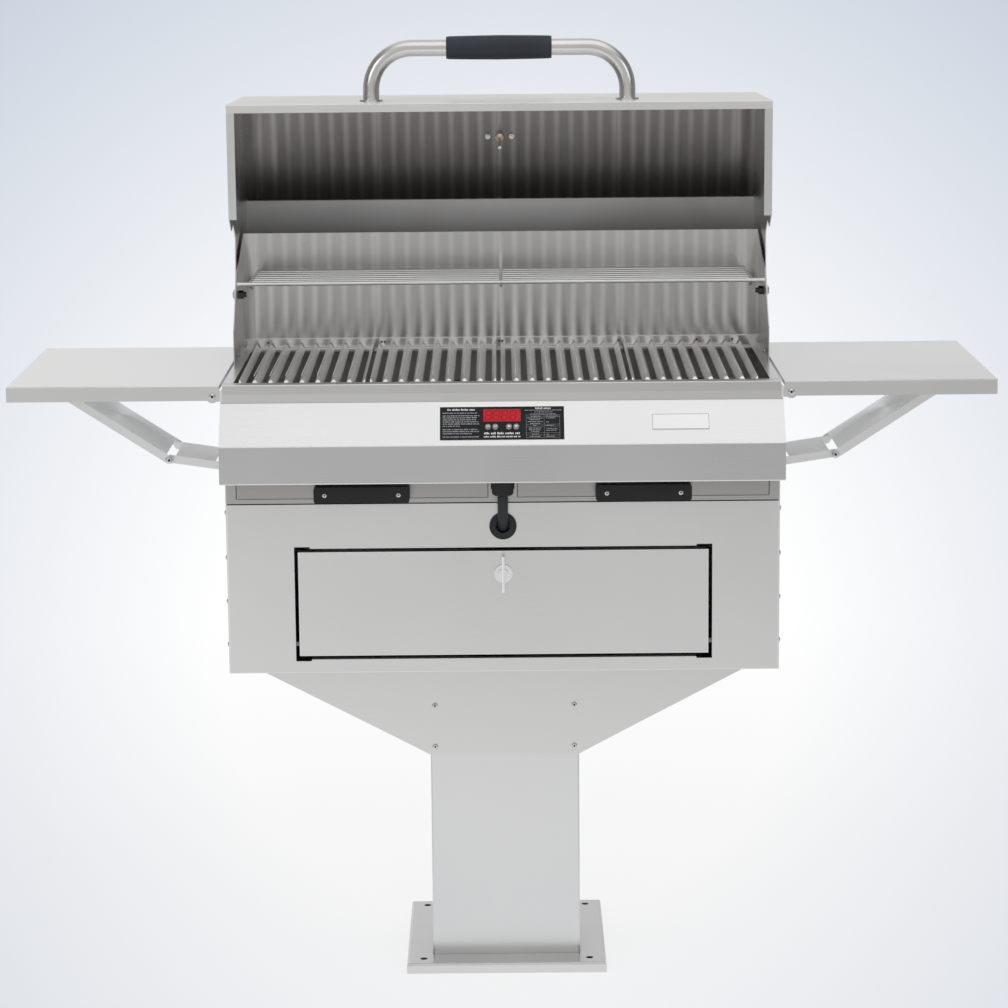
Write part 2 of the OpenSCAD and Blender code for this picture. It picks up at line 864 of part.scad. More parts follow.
module front_rim() {
    inside_x = inner_x - sheet - gap;
    color(bright_steel) difference() {
        along_x(body_w) folded([
            [ledge_y + ledge_w, ledge_z - sheet], [ledge_y - sheet, ledge_z - sheet],
            [ledge_y - sheet, firebox_top - sheet], [rim_y + sheet, firebox_top - sheet],
            [rim_y + sheet, rim_z + rim_crease_rise], [rim_y + sheet + rim_crease_in, rim_z + sheet],
            [-fascia_y, rim_z + sheet]
        ], -sheet);
        mirrored() block(
            [inside_x, -fascia_y, ledge_z - 2 * sheet],
            [body_x + cut, ledge_y + ledge_w + cut, firebox_top - sheet]
        );
    }
}

// Console

console_section = [
    [-fascia_y, rim_z], [slope_top_y, rim_z], [slope_low_y, slope_low_z],
    [slope_low_y - console_lean, console_z], [slope_low_y - console_lean + console_return, console_z]
];

// Places a piece on the sloping face: local +y runs up the slope and +z stands out of it
module on_slope(x = 0, up = 0)
    translate([x, (slope_top_y + slope_low_y) / 2, (rim_z + slope_low_z) / 2])
        rotate([slope_angle, 0, 0]) translate([0, up, 0]) children();

module button_places(index = -1) {
    xs = [-button_outer_x, -button_inner_x, button_inner_x, button_outer_x];
    for (i = index < 0 ? [0 : 3] : [index]) on_slope(xs[i], button_row) children();
}

module console() {
    color(bright_steel) {
        difference() {
            along_x(console_w - 2 * sheet) folded(console_section, sheet);
            button_places()
                translate([0, 0, -2 * sheet]) cylinder(d = button_d + 2 * button_gap, h = 3 * sheet);
        }
        mirrored() translate([console_w / 2 - sheet, 0, 0]) rotate([90, 0, 90])
            linear_extrude(sheet) polygon([
                [-fascia_y + console_end_lap, rim_z], [slope_top_y, rim_z], [slope_low_y, slope_low_z],
                [slope_low_y - console_lean, console_z], [-fascia_y + console_end_lap, console_z]
            ]);
    }
}

module display_panel() {
    color(black_plastic) difference() {
        on_slope() linear_extrude(label_t) square([display_w, display_h], center = true);
        on_slope(0, window_up) translate([0, 0, label_t - window_deep]) linear_extrude(label_t)
            square([window_w, window_h], center = true);
        button_places()
            translate([0, 0, -cut]) cylinder(d = button_d + 2 * button_gap, h = label_t + 2 * cut);
    }
}

module display_window() {
    color(red_lens) on_slope(0, window_up) translate([0, 0, label_t - window_deep])
        linear_extrude(window_deep) square([window_w, window_h], center = true);
}

module badge_plate()
    color(bright_steel) on_slope(badge_x) linear_extrude(badge_t) rounded_rect(badge_w, badge_h, badge_t);

// Domed button with a stem; it stands out of the display by its travel and dome
module button(index) {
    r = button_d / 2;
    proud = label_t + button_travel;
    stem_r = button_stem_d / 2;
    color(bright_steel) button_places(index) rotate_extrude() polygon(concat(
        [[0, -button_stem_len], [stem_r, -button_stem_len], [stem_r, -sheet], [r, -sheet], [r, proud]],
        [for (share = button_dome_shares) [r * share[0], proud + button_dome * share[1]]]
    ));
}
module button_on() button(0);
module button_off() button(1);
module button_up() button(2);
module button_down() button(3);

// Electronics housing behind the console, carried by the fascia
module control_box() {
    z0 = console_z + 2 * sheet;
    front = slope_low_y - console_lean + console_return + box_gap;
    color(dark_steel) block([-control_w / 2, front, z0], [control_w / 2, -fascia_y, z0 + control_h]);
}

// Hexagonal cord gland: a body and a clamping nut with a rounded lower edge
module strain_relief() {
    top = console_z + 2 * sheet - cord_bend_z;
    nut_r = relief_nut_d / 2;
    color(black_plastic) translate([0, cord_drop_y, cord_bend_z]) difference() {
        union() {
            translate([0, 0, relief_nut_h]) cylinder(d = relief_d, h = top - relief_nut_h, $fn = 6);
            intersection() {
                cylinder(r = nut_r, h = relief_nut_h, $fn = 6);
                rotate_extrude() {
                    translate([0, relief_nut_r]) square([nut_r, relief_nut_h]);
                    square([nut_r - relief_nut_r, relief_nut_h]);
                    translate([nut_r - relief_nut_r, relief_nut_r]) circle(relief_nut_r);
                }
            }
        }
        translate([0, 0, -cut]) cylinder(d = cord_d, h = top + 2 * cut);
    }
}

// Supply cord, all in the plane x = 0: down from the strain relief, through the grommet
// and on to the junction box
module power_cord() {
    box_top = cabinet_z + sheet + box_h + box_nut_h;
    run = -cord_bend_r;
    color(rubber) {
        translate([0, cord_drop_y, cord_bend_z]) cylinder(d = cord_d, h = relief_nut_h);
        translate([0, cord_bend_y, cord_bend_z]) rotate([90, 0, 0]) rotate([0, 90, 0])
            rotate([0, 0, 180]) rotate_extrude(angle = 90) translate([cord_bend_r, 0]) circle(d = cord_d);
        translate([0, 0, cord_inside_z]) rod_y(cord_d, cord_bend_y, run);
        translate([0, run, cord_inside_z - cord_bend_r]) rotate([90, 0, 0]) rotate([0, 90, 0])
            rotate_extrude(angle = 90) translate([cord_bend_r, 0]) circle(d = cord_d);
        translate([0, 0, box_top]) cylinder(d = cord_d, h = cord_inside_z - cord_bend_r - box_top);
    }
}

// Hood support

module backsplash() {
    foot = [backsplash_y - backsplash_foot_out, firebox_top];
    top = firebox_top + backsplash_h;
    color(steel) along_x(2 * wing_inner_x) folded([
        [rear_in_y, foot[1]], foot,
        foot + [0, backsplash_foot_h], [backsplash_y, foot[1] + backsplash_foot_h],
        [backsplash_y, top], [backsplash_y + backsplash_lip, top]
    ], -sheet);
    color(steel) for (x = [-1, 1]) translate([x * rack_hook_x, 0, rack_z]) block(
        [-rack_tab_w / 2, backsplash_y - 2 * rack_tab_w, -rod_d / 2 - gap - rack_tab_t],
        [rack_tab_w / 2, backsplash_y, -rod_d / 2 - gap]
    );
}

module hood_wings() {
    depth = backsplash_y + sheet - wing_front_y;
    low = firebox_top;
    tab_z = rack_z - rod_d / 2 - gap;
    color(steel) mirrored() {
        difference() {
            translate([wing_inner_x, 0, 0]) rotate([90, 0, 90]) linear_extrude(sheet) polygon(concat(
                [[wing_front_y, low]],
                [for (share = wing_curve_shares) [
                    wing_front_y + share[0] * depth, low + share[1] * (backsplash_h - gap)
                ]],
                [[wing_front_y + depth, low]]
            ));
            translate([0, pivot_y, pivot_z]) rod_x(pivot_d, 0, body_x + cut);
        }
        block(
            [rack_rear_reach - 2 * rod_d, rack_tab_y, tab_z - rack_tab_t],
            [wing_inner_x, rack_tab_y + rack_tab_w, tab_z]
        );
    }
}

// Bolt with its head towards +x and its seat at x = 0
module bolt_x(d, head_d, head_h, len)
    rotate([0, 90, 0]) screw(d, head_d, head_h, len, bolt_socket_d, bolt_socket_deep);

// Bolt with its head towards the front and its seat at y = 0
module bolt_y(d, head_d, head_h, len)
    rotate([90, 0, 0]) screw(d, head_d, head_h, len, bolt_socket_d, bolt_socket_deep);

module hinge_bolts() {
    shank = hood_w / 2 + gap - wing_inner_x + nut_h + bolt_end;
    color(dark_steel) mirrored() {
        translate([hood_w / 2 + gap, pivot_y, pivot_z]) bolt_x(pivot_d, bolt_head_d, bolt_head_h, shank);
        difference() {
            translate([0, pivot_y, pivot_z]) rotate([0, 90, 0])
                translate([0, 0, wing_inner_x - nut_h]) cylinder(d = nut_d, h = nut_h, $fn = 6);
            translate([0, pivot_y, pivot_z]) rod_x(pivot_d, 0, body_x);
        }
        shelf_bolts();
        strut_root_bolts();
    }
}

// Bolts of a shelf's hinge, front and rear, on the right side
module shelf_bolts() {
    len = sheet + gap + lug_t;
    for (rear = [0, 1]) translate([shelf_pin[0], rear * shelf_d + shelf_y0, shelf_pin[1]])
        mirror([0, rear, 0]) translate([0, -gap, 0])
            bolt_y(shelf_bolt_d, shelf_head_d, shelf_head_h, len + gap);
}

module strut_root_bolts() {
    half = lower_link_w / 2;
    len = sheet + 2 * gap + lug_t;
    for (side = [-1, 1]) translate([strut_root[0], strut_y, strut_root[1]]) scale([1, side, 1])
        translate([0, -half - gap, 0]) bolt_y(strut_bolt_d, strut_head_d, strut_head_h, len);
}

// A lug in the (x, z) plane, from a base edge to a round end with a bolt hole
module lug(from_x, at, d)
    difference() {
        union() {
            translate([from_x, at[1] - lug_r]) square([at[0] - from_x, 2 * lug_r]);
            translate(at) circle(lug_r);
        }
        translate(at) circle(d = d);
    }

// Brackets on the right wall: a lug behind each apron and a fork for the strut
module wall_brackets() {
    base_x = body_x + lug_base_t;
    inside = [shelf_y0 + sheet + gap, shelf_y0 + shelf_d - sheet - gap - lug_t];
    for (y = inside) along_y(y, y + lug_t) lug(base_x, shelf_pin, shelf_bolt_d);
    for (start = [inside[0], inside[1] + lug_t - hinge_plate_w])
        block([body_x, start, shelf_pin[1] - lug_r], [base_x, start + hinge_plate_w, shelf_pin[1] + lug_r]);
    fork = lower_link_w / 2 - sheet - gap;
    for (side = [-1, 1]) {
        y = strut_y + (side > 0 ? fork - lug_t : -fork);
        along_y(y, y + lug_t) lug(base_x, strut_root, strut_bolt_d);
    }
    block(
        [body_x, strut_y - fork, strut_root[1] - lug_base_h / 2],
        [base_x, strut_y + fork, strut_root[1] + lug_base_h / 2]
    );
}

module shelf_brackets() color(steel) mirrored() wall_brackets();

// Door

module door_panel() {
    front = -cabinet_front_y;
    color(steel) difference() {
        block([-door_x, front, door_z0], [door_x, front + door_depth, door_z1]);
        block(
            [-door_x + sheet, front + sheet, door_z0 + sheet],
            [door_x - sheet, front + door_depth + cut, door_z1 - sheet]
        );
        translate([0, door_pin_y, door_pin_z]) rod_x(door_pin_d + 2 * pin_gap, -body_x, body_x);
        translate([0, 0, latch_z]) rod_y(latch_neck_d + 2 * pin_gap, front - cut, front + sheet + cut);
    }
}

module latch_rose() {
    color(bright_steel) translate([0, 0, latch_z]) difference() {
        rod_y(latch_rose_d, -cabinet_front_y - latch_rose_t, -cabinet_front_y);
        rod_y(latch_neck_d + 2 * pin_gap, -cabinet_front_y - latch_rose_t - cut, -cabinet_front_y + cut);
    }
}

module latch_handle() {
    face = -cabinet_front_y - latch_rose_t - gap;
    color(bright_steel) translate([0, 0, latch_z]) {
        rod_y(latch_neck_d, face, latch_cam_y);
        rod_y(latch_boss_d, face - latch_boss_t, face);
        translate([0, face - latch_boss_t - latch_bar_d / 4, 0])
            cylinder(d = latch_bar_d, h = latch_bar_len, center = true);
    }
}

// Locking tongue behind the door, drawn unlocked; a quarter turn brings it behind the lintel
module latch_cam() {
    color(steel) translate([0, 0, latch_z]) {
        along_y(latch_cam_y, latch_cam_y + latch_cam_t) {
            circle(d = latch_cam_w);
            translate([-latch_cam_reach, -latch_cam_w / 2]) square([latch_cam_reach, latch_cam_w]);
        }
        translate([0, latch_cam_y + latch_cam_t, 0]) rotate([-90, 0, 0])
            cylinder(d = latch_nut_d, h = latch_nut_t, $fn = 6);
    }
}

// Grease trays

module tray(side) {
    x = side * tray_x;
    front = tray_front_y;
    color(dark_steel) {
        difference() {
            block([x - tray_w / 2, front, tray_z], [x + tray_w / 2, front + tray_len, tray_z + tray_h]);
            block(
                [x - tray_w / 2 + tray_wall, front + tray_wall, tray_z + tray_wall],
                [x + tray_w / 2 - tray_wall, front + tray_len - tray_wall, tray_z + tray_h + cut]
            );
        }
        block(
            [x - tray_w / 2, front + tray_wall, tray_z + tray_h - tray_wall],
            [x + tray_w / 2, front + tray_wall + tray_lip, tray_z + tray_h]
        );
    }
}
module tray_left() tray(-1);
module tray_right() tray(1);

module tray_handle(side) {
    front = tray_front_y - tray_handle_out;
    top = tray_z + handle_top_rise;
    low = tray_z - handle_lip_drop;
    color(black_plastic) translate([side * tray_x, 0, 0]) intersection() {
        along_x(tray_handle_w) folded([
            [tray_front_y, tray_z + gap], [tray_front_y, top], [front, top], [front, low]
        ], handle_plate_t);
        along_y(front - cut, tray_front_y + cut) translate([0, (low + top) / 2])
            rounded_rect(tray_handle_w, top - low, handle_corner_r);
    }
}
module tray_handle_left() tray_handle(-1);
module tray_handle_right() tray_handle(1);

// Hood, drawn closed from its pivot and turned open

module hood_pose() translate(pivot) rotate([-hood_open, 0, 0]) children();

hood_path = concat([hood_low + [hood_hem, 0]], hood_corners);

module hood_shell() {
    color(steel) difference() {
        hood_pose() along_x(hood_w) folded(hood_path, -sheet);
        on_hood_top() {
            translate([0, 0, -cut]) cylinder(d = probe_d, h = sheet + 2 * cut);
            for (x = [-1, 1]) translate([x * probe_stud_x, 0, -cut])
                cylinder(d = probe_stud_d, h = sheet + 2 * cut);
        }
    }
}

module hood_ends() {
    inside = [for (i = [1 : len(hood_path) - 1]) mitre(hood_path, i, -sheet)];
    tail = hood_rear_low - [0, hood_hem];
    tangent = atan2(tail[1], tail[0]) - acos(hood_boss_r / norm(tail));
    depth = hood_rear_low[0] - hood_low[0];
    color(steel) hood_pose() mirrored() {
        difference() {
            translate([hood_end_x, 0, 0]) rotate([90, 0, 90]) linear_extrude(sheet) {
                polygon(concat(
                    inside, [tail, hood_boss_r * [cos(tangent), sin(tangent)], [0, -hood_boss_r]],
                    [for (share = hood_end_shares) hood_low + [depth * share[0], hood_front_h * share[1]]],
                    [hood_low + [hood_side_hem_len, sheet]]
                ));
                circle(hood_boss_r);
            }
            rod_x(pivot_d + 2 * pin_gap, 0, hood_w);
        }
        block(
            [hood_w / 2 - hood_side_hem_w, hood_low[0] + hood_hem, hood_low[1]],
            [hood_w / 2, hood_low[0] + hood_side_hem_len, hood_low[1] + sheet]
        );
    }
}

// Places a piece on the hood's front panel: local +z stands out of it
module on_hood_front() {
    lean = atan(hood_front_lean / hood_front_h);
    hood_pose() translate([0, hood_low[0], hood_low[1]]) rotate([-lean, 0, 0])
        translate([0, 0, handle_up]) rotate([90, 0, 0]) children();
}

module hood_handle() {
    x = handle_w / 2;
    r = handle_bend_r;
    color(bright_steel) on_hood_front() {
        mirrored() {
            translate([x, 0, 0]) cylinder(d = handle_d, h = handle_out - r);
            translate([x, 0, 0]) cylinder(d = handle_foot_d, h = handle_foot_t);
            translate([x - r, 0, handle_out - r]) rotate([90, 0, 0]) rotate_extrude(angle = 90)
                translate([r, 0]) circle(d = handle_d);
        }
        translate([0, 0, handle_out]) rod_x(handle_d, -x + r, x - r);
    }
}

module handle_grip() {
    half = grip_len / 2;
    color(rubber) on_hood_front() translate([0, 0, handle_out]) rotate([0, 90, 0])
        rotate_extrude() polygon(concat(
            [[handle_d / 2, -half]],
            [for (share = grip_shares) [grip_d / 2 * share[1], half * share[0]]],
            [[handle_d / 2, half]]
        ));
}

// Places a piece on the hood's top panel: local +z points into the hood
module on_hood_top() {
    along = unit(hood_front_top - hood_rear_top);
    at = hood_rear_top + along * probe_along;
    hood_pose() translate([0, at[0], at[1]]) rotate([atan2(along[1], along[0]), 0, 0]) children();
}

module thermometer() {
    color(brass) on_hood_top() {
        translate([0, 0, -dial_t]) cylinder(d = dial_d, h = dial_t);
        translate([0, 0, sheet]) cylinder(d = probe_fitting_d, h = probe_fitting_h, $fn = 6);
        cylinder(d = probe_d, h = probe_len);
        for (x = [-1, 1]) translate([x * probe_stud_x, 0, 0]) {
            cylinder(d = probe_stud_d, h = probe_stud_h);
            translate([0, 0, sheet]) cylinder(d = probe_nut_d, h = probe_nut_h, $fn = 6);
        }
    }
}

// Side shelves and struts; the right side is drawn and the left is its mirror

module shelf_side() {
    y1 = shelf_y0 + shelf_d;
    top = shelf_z;
    low = shelf_z - apron_h;
    tip_y = upper_link_w / 2 - sheet - gap;
    base_x = [strut_tip[0] - 2 * lug_r, strut_tip[0] + 2 * lug_r];
    difference() {
        union() {
            difference() {
                block([shelf_x0, shelf_y0, low], [shelf_x1, y1, top]);
                block(
                    [shelf_x0 - cut, shelf_y0 + sheet, low - cut],
                    [shelf_x1 - sheet, y1 - sheet, top - sheet]
                );
            }
            for (y = [shelf_y0, y1 - sheet]) along_y(y, y + sheet) intersection() {
                translate(shelf_pin) circle(shelf_ear_r);
                translate([shelf_x0 - shelf_len, low - shelf_ear_r])
                    square([2 * shelf_len, apron_h + shelf_ear_r]);
            }
            block(
                [shelf_x0, shelf_y0 + sheet, shelf_pin[1] + lug_r + 3 * gap],
                [shelf_x0 + sheet, y1 - sheet, top - sheet]
            );
        }
        translate([shelf_pin[0], 0, shelf_pin[1]])
            rod_y(shelf_bolt_d + 2 * pin_gap, shelf_y0 - cut, y1 + cut);
    }
    block([base_x[0], strut_y - tip_y, top - sheet - lug_base_t], [base_x[1], strut_y + tip_y, top - sheet]);
    for (side = [-1, 1]) {
        y = strut_y + (side > 0 ? tip_y - lug_t : -tip_y);
        along_y(y, y + lug_t) translate([strut_tip[0], 0]) {
            translate([0, strut_tip[1]]) circle(lug_r);
            translate([-lug_r, strut_tip[1]]) square([2 * lug_r, top - sheet - strut_tip[1]]);
        }
        translate([strut_tip[0], strut_y, strut_tip[1]]) scale([1, side, 1])
            translate([0, -upper_link_w / 2 - gap, 0])
                bolt_y(strut_bolt_d, strut_head_d, strut_head_h, sheet + 3 * gap);
    }
}
module shelf_right() color(steel) shelf_side();
module shelf_left() color(steel) mirror([1, 0, 0]) shelf_side();

// A channel from one pivot to another: two sides with round ends and a web along the top
module link(from, to, w, hole, cut_from, cut_to) {
    run = to - from;
    len = norm(run);
    angle = atan2(run[1], run[0]);
    r = link_h / 2;
    translate([from[0], strut_y, from[1]]) rotate([0, -angle, 0]) {
        difference() {
            for (side = [-1, 1]) {
                y = side > 0 ? w / 2 - sheet : -w / 2;
                along_y(y, y + sheet) {
                    translate([0, -r]) square([len, link_h]);
                    circle(r);
                    translate([len, 0]) circle(r);
                }
            }
            translate([hole == "to" ? len : 0, 0, 0]) rod_y(strut_bolt_d + 2 * pin_gap, -w, w);
        }
        block([cut_from, -w / 2, r - sheet], [len - cut_to, w / 2, r]);
    }
}

module upper_link() {
    link(strut_knee, strut_tip, upper_link_w, "to", web_cut_knee, web_cut_lug);
    for (side = [-1, 1]) translate([strut_knee[0], strut_y, strut_knee[1]]) scale([1, side, 1])
        translate([0, -upper_link_w / 2, 0]) bolt_y(strut_bolt_d, strut_head_d, strut_head_h, sheet * 2);
}
module upper_link_right() color(steel) upper_link();
module upper_link_left() color(steel) mirror([1, 0, 0]) upper_link();

module lower_link() link(strut_root, strut_knee, lower_link_w, "from", web_cut_lug, web_cut_knee);
module lower_link_right() color(steel) lower_link();
module lower_link_left() color(steel) mirror([1, 0, 0]) lower_link();

// Grates and warming rack

// A pressed bar: a channel with sloping sides and a flat top, its ends sloping down to its feet
module grate_bar() {
    module body(w, top_w, h, len, slope) intersection() {
        along_y(0, len) polygon([[-w / 2, 0], [w / 2, 0], [top_w / 2, h], [-top_w / 2, h]]);
        along_x(w) polygon([[0, 0], [len, 0], [len - slope, h], [slope, h]]);
    }
    wall = sheet;
    difference() {
        body(bar_w, bar_top_w, bar_h, grate_len, grate_end_slope);
        translate([0, wall, -cut / 4])
            body(bar_w - 2 * wall, bar_top_w - wall, bar_h - wall, grate_len - 2 * wall, grate_end_slope);
    }
}

module grate(index) {
    mid = (index - (grate_count - 1) / 2) * grate_step + grate_shift;
    w = grate_bays * bar_pitch;
    color(steel) translate([mid, grate_front_y, grate_z]) rotate([grate_tilt, 0, 0]) intersection() {
        union() {
            for (i = [0 : grate_bays]) translate([-w / 2 + i * bar_pitch, 0, 0]) grate_bar();
            for (y = [0, grate_len - grate_strip_w])
                block([-w / 2, y, 0], [w / 2, y + grate_strip_w, grate_strip_t]);
        }
        block([-w / 2, 0, 0], [w / 2, grate_len, bar_h]);
    }
}
module grate_1() grate(0);
module grate_2() grate(1);
module grate_3() grate(2);
module grate_4() grate(3);

module warming_rack() {
    color(bright_steel) translate([0, rack_front_y, rack_z]) {
        rod_x(rack_front_d, -rack_reach, rack_reach);
        depth = (rod_count - 1) * rack_pitch;
        for (i = [1 : rod_count - 1])
            translate([0, i * rack_pitch, 0]) rod_x(rod_d, -rack_rear_reach, rack_rear_reach);
        mirrored() translate([rack_rear_reach - rod_d / 2, 0, 0]) rod_y(rod_d, 0, depth);
        rod_y(rod_d, 0, depth);
    }
}

base_plate();
base_cover();
column();
neck_front();
neck_rear();
casing_screws();
cabinet_floor();
cabinet_front();
cabinet_wrap();
cord_grommet();
junction_box();
door_hinge_pins();
seam_spacer();
firebox_front();
firebox_wrap();
drip_floor();
tray_runners();
heating_elements();
element_rails();
front_rim();
console();
display_panel();
display_window();
badge_plate();
control_box();
strain_relief();
power_cord();
backsplash();
hood_wings();
shelf_brackets();
hinge_bolts();
door_panel();
latch_rose();
latch_handle();
latch_cam();
tray_left();
tray_right();
tray_handle_left();
tray_handle_right();
hood_shell();
hood_ends();
hood_handle();
handle_grip();
thermometer();
shelf_left();
shelf_right();
upper_link_left();
upper_link_right();
lower_link_left();
lower_link_right();
button_on();
button_off();
button_up();
button_down();
grate_1();
grate_2();
grate_3();
grate_4();
warming_rack();
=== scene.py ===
import math
import random

import bmesh
import bpy
from mathutils import Matrix, Vector


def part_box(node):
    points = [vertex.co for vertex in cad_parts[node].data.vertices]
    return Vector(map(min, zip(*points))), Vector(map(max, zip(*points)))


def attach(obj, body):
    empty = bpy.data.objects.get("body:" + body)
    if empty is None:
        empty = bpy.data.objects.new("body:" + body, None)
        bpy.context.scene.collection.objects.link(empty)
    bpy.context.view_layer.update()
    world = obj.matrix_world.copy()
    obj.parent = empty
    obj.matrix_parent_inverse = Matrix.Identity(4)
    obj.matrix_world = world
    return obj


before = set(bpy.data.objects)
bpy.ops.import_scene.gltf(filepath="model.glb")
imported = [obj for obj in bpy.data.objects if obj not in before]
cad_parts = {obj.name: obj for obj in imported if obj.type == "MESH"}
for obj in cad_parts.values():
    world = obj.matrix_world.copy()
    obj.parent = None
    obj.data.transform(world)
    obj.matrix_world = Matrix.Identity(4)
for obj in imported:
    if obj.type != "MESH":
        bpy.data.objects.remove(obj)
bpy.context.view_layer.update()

# Stainless steel pedestal grill with its hood open, dressed for the render.
# Metres; +X to the right, +Y to the rear, +Z up; the origin is under the middle of the base.

scene = bpy.context.scene
MM = 0.001
SIDES = ((-1, "left"), (1, "right"))
ENDS = ((-1, "front"), (1, "rear"))
FORWARD = (0, -1, 0)


# Camera: PHOTO is the photograph's width in pixels, and FOCAL its focal length in the same pixels

PHOTO = 1008
FOCAL = 3200
SENSOR = 36
FARTHEST = 60
CAMERA_AT = (0.0018, -4.8355, 1.589)
PITCH = math.radians(10.43)
ROLL = math.radians(0.504)


def linked(thing):
    """Puts an object into the scene."""
    scene.collection.objects.link(thing)
    return thing


def aim_camera():
    data = bpy.data.cameras.new("camera")
    data.sensor_width = SENSOR
    data.lens = SENSOR * FOCAL / PHOTO
    data.clip_end = FARTHEST
    camera = linked(bpy.data.objects.new("camera", data))
    turn = Matrix.Rotation(math.radians(90) - PITCH, 4, "X") @ Matrix.Rotation(-ROLL, 4, "Z")
    camera.matrix_world = Matrix.Translation(CAMERA_AT) @ turn
    scene.camera = camera


aim_camera()


# The hood's pivot, and the outline of its closed sheet as seen from the side, from the front hem to the rear edge

PIVOT = Vector((0, 0.075, 1.017))
HOOD_OPEN = math.radians(-88.5)
HOOD_CLOSED = [(-0.2982, -0.0917), (-0.2853, 0.222), (-0.1174, 0.2593), (0.0795, 0.117)]


def hood_point(x, y, z):
    """A place on the closed hood, from its pivot, turned to the open pose."""
    return PIVOT + Vector((x, 0, 0)) + Matrix.Rotation(HOOD_OPEN, 3, "X") @ Vector((0, y, z))


HOOD_OUTLINE = [hood_point(0, y, z) for y, z in HOOD_CLOSED]


# Materials

class Shading:
    """A shader tree under construction."""

    def __init__(self, tree):
        self.tree = tree

    def add(self, kind, operation=None, **inputs):
        node = self.tree.nodes.new("ShaderNode" + kind)
        if operation:
            node.operation = operation
        for name, value in inputs.items():
            self.feed(node.inputs[name.replace("_", " ")], value)
        return node

    def feed(self, socket, value):
        if isinstance(value, bpy.types.NodeSocket):
            self.tree.links.new(value, socket)
        else:
            socket.default_value = value

    def maths(self, operation, *values):
        node = self.add("Math", operation)
        for socket, value in zip(node.inputs, values):
            self.feed(socket, value)
        return node.outputs[0]

    def dot(self, vector, axis):
        node = self.add("VectorMath", "DOT_PRODUCT")
        self.feed(node.inputs[0], vector)
        node.inputs[1].default_value = axis
        return node.outputs["Value"]

    def place(self, scale=(1, 1, 1), turn=(0, 0, 0)):
        coordinates = self.add("TexCoord").outputs["Object"]
        mapping = self.add("Mapping", Vector=coordinates)
        mapping.inputs["Scale"].default_value = scale
        mapping.inputs["Rotation"].default_value = turn
        return mapping.outputs["Vector"]

    def along(self, axis, vector=None):
        """How far each point lies along X, Y or Z."""
        return self.add("SeparateXYZ", Vector=self.place() if vector is None else vector).outputs[axis]

    def noise(self, scale, detail=2, vector=None, roughness=0.5):
        vector = self.place() if vector is None else vector
        return self.add("TexNoise", Vector=vector, Scale=scale, Detail=detail, Roughness=roughness).outputs["Fac"]

    def range(self, value, low, high, to_low, to_high):
        node = self.add("MapRange", Value=value, From_Min=low, From_Max=high, To_Min=to_low, To_Max=to_high)
        return node.outputs["Result"]

    def blend(self, factor, first, second, how="MIX"):
        node = self.tree.nodes.new("ShaderNodeMix")
        node.data_type = "RGBA"
        node.blend_type = how
        node.clamp_factor = True
        self.feed(node.inputs[0], factor)
        for socket, colour in ((node.inputs[6], first), (node.inputs[7], second)):
            self.feed(socket, colour if isinstance(colour, bpy.types.NodeSocket) else (*colour, 1))
        return node.outputs[2]

    def shade(self, colour, amount):
        """Multiplies a colour by a value near 1."""
        grey = self.add("CombineColor", Red=amount, Green=amount, Blue=amount).outputs[0]
        return self.blend(1.0, colour, grey, "MULTIPLY")


class Finish(Shading):
    """A material under construction, built on one principled shader."""

    def __init__(self, name, colour=(0.8, 0.8, 0.8), **shader):
        self.material = bpy.data.materials.new(name)
        self.material.use_nodes = True
        super().__init__(self.material.node_tree)
        self.shader = self.tree.nodes["Principled BSDF"]
        self.shader.inputs["Base Color"].default_value = (*colour, 1)
        for socket, value in shader.items():
            self.shader.inputs[socket.replace("_", " ")].default_value = value
        self.material.diffuse_color = (*colour, 1)

    def set(self, **sockets):
        for name, value in sockets.items():
            self.feed(self.shader.inputs[name.replace("_", " ")], value)

    def bump(self, height, distance, strength):
        self.set(Normal=self.add("Bump", Height=height, Distance=distance, Strength=strength).outputs[0])

    def brush(self, axis):
        """Turns the long way of the highlights round the grain's axis."""
        tangent = self.add("Tangent")
        tangent.direction_type = "RADIAL"
        tangent.axis = axis
        self.set(Tangent=tangent.outputs[0])


# Scale of the brushed streaks: long along the grain and very fine across it
GRAIN = {"X": (1.6, 1100, 1100), "Y": (1100, 1.6, 1100), "Z": (1100, 1100, 1.6)}
CLOUD_TURN = (0.3, 0.5, 0.2)
BRIGHTEST = 1.04
FOLD_BLEND = 0.0005
BAKED_GREASE = (0.32, 0.27, 0.22)

# The painted reflections of the grates' bars: pitch of the bars and of the grates, and the grates' shift to the side;
# a painted reflection is brightest within its middle's distance from a bar's middle, and darkest from its edge's
# distance on
BAR_PITCH = 0.0231
GRATE_STEP = 0.1916
GRATE_SHIFT = -0.0046
REFLECTION_MIDDLE = 0.0008
REFLECTION_EDGE = 0.0068
BACKSPLASH_PAINTED_REFLECTIONS = (0.84, 1.24)
HOOD_PAINTED_REFLECTIONS = (0.88, 1.34)

# Top of the backsplash's foot, which has no painted reflections and is brighter: a painted highlight
FOOT_TOP = 0.9355
FOOT_PAINTED_HIGHLIGHT = 1.35


def painted_bar_reflections(finish, strength, dark, bright):
    """Upright painted reflections of the grates' bars on the steel behind the grates, one over each bar."""
    local = finish.maths("WRAP", finish.maths("SUBTRACT", finish.along("X"), GRATE_SHIFT), GRATE_STEP, 0.0)
    local = finish.maths("SUBTRACT", local, GRATE_STEP / 2)
    away = finish.maths("ABSOLUTE", finish.maths("WRAP", local, BAR_PITCH / 2, -BAR_PITCH / 2))
    line = finish.range(away, REFLECTION_MIDDLE, REFLECTION_EDGE, bright - 1, dark - 1)
    return finish.maths("ADD", finish.maths("MULTIPLY", line, strength), 1.0)


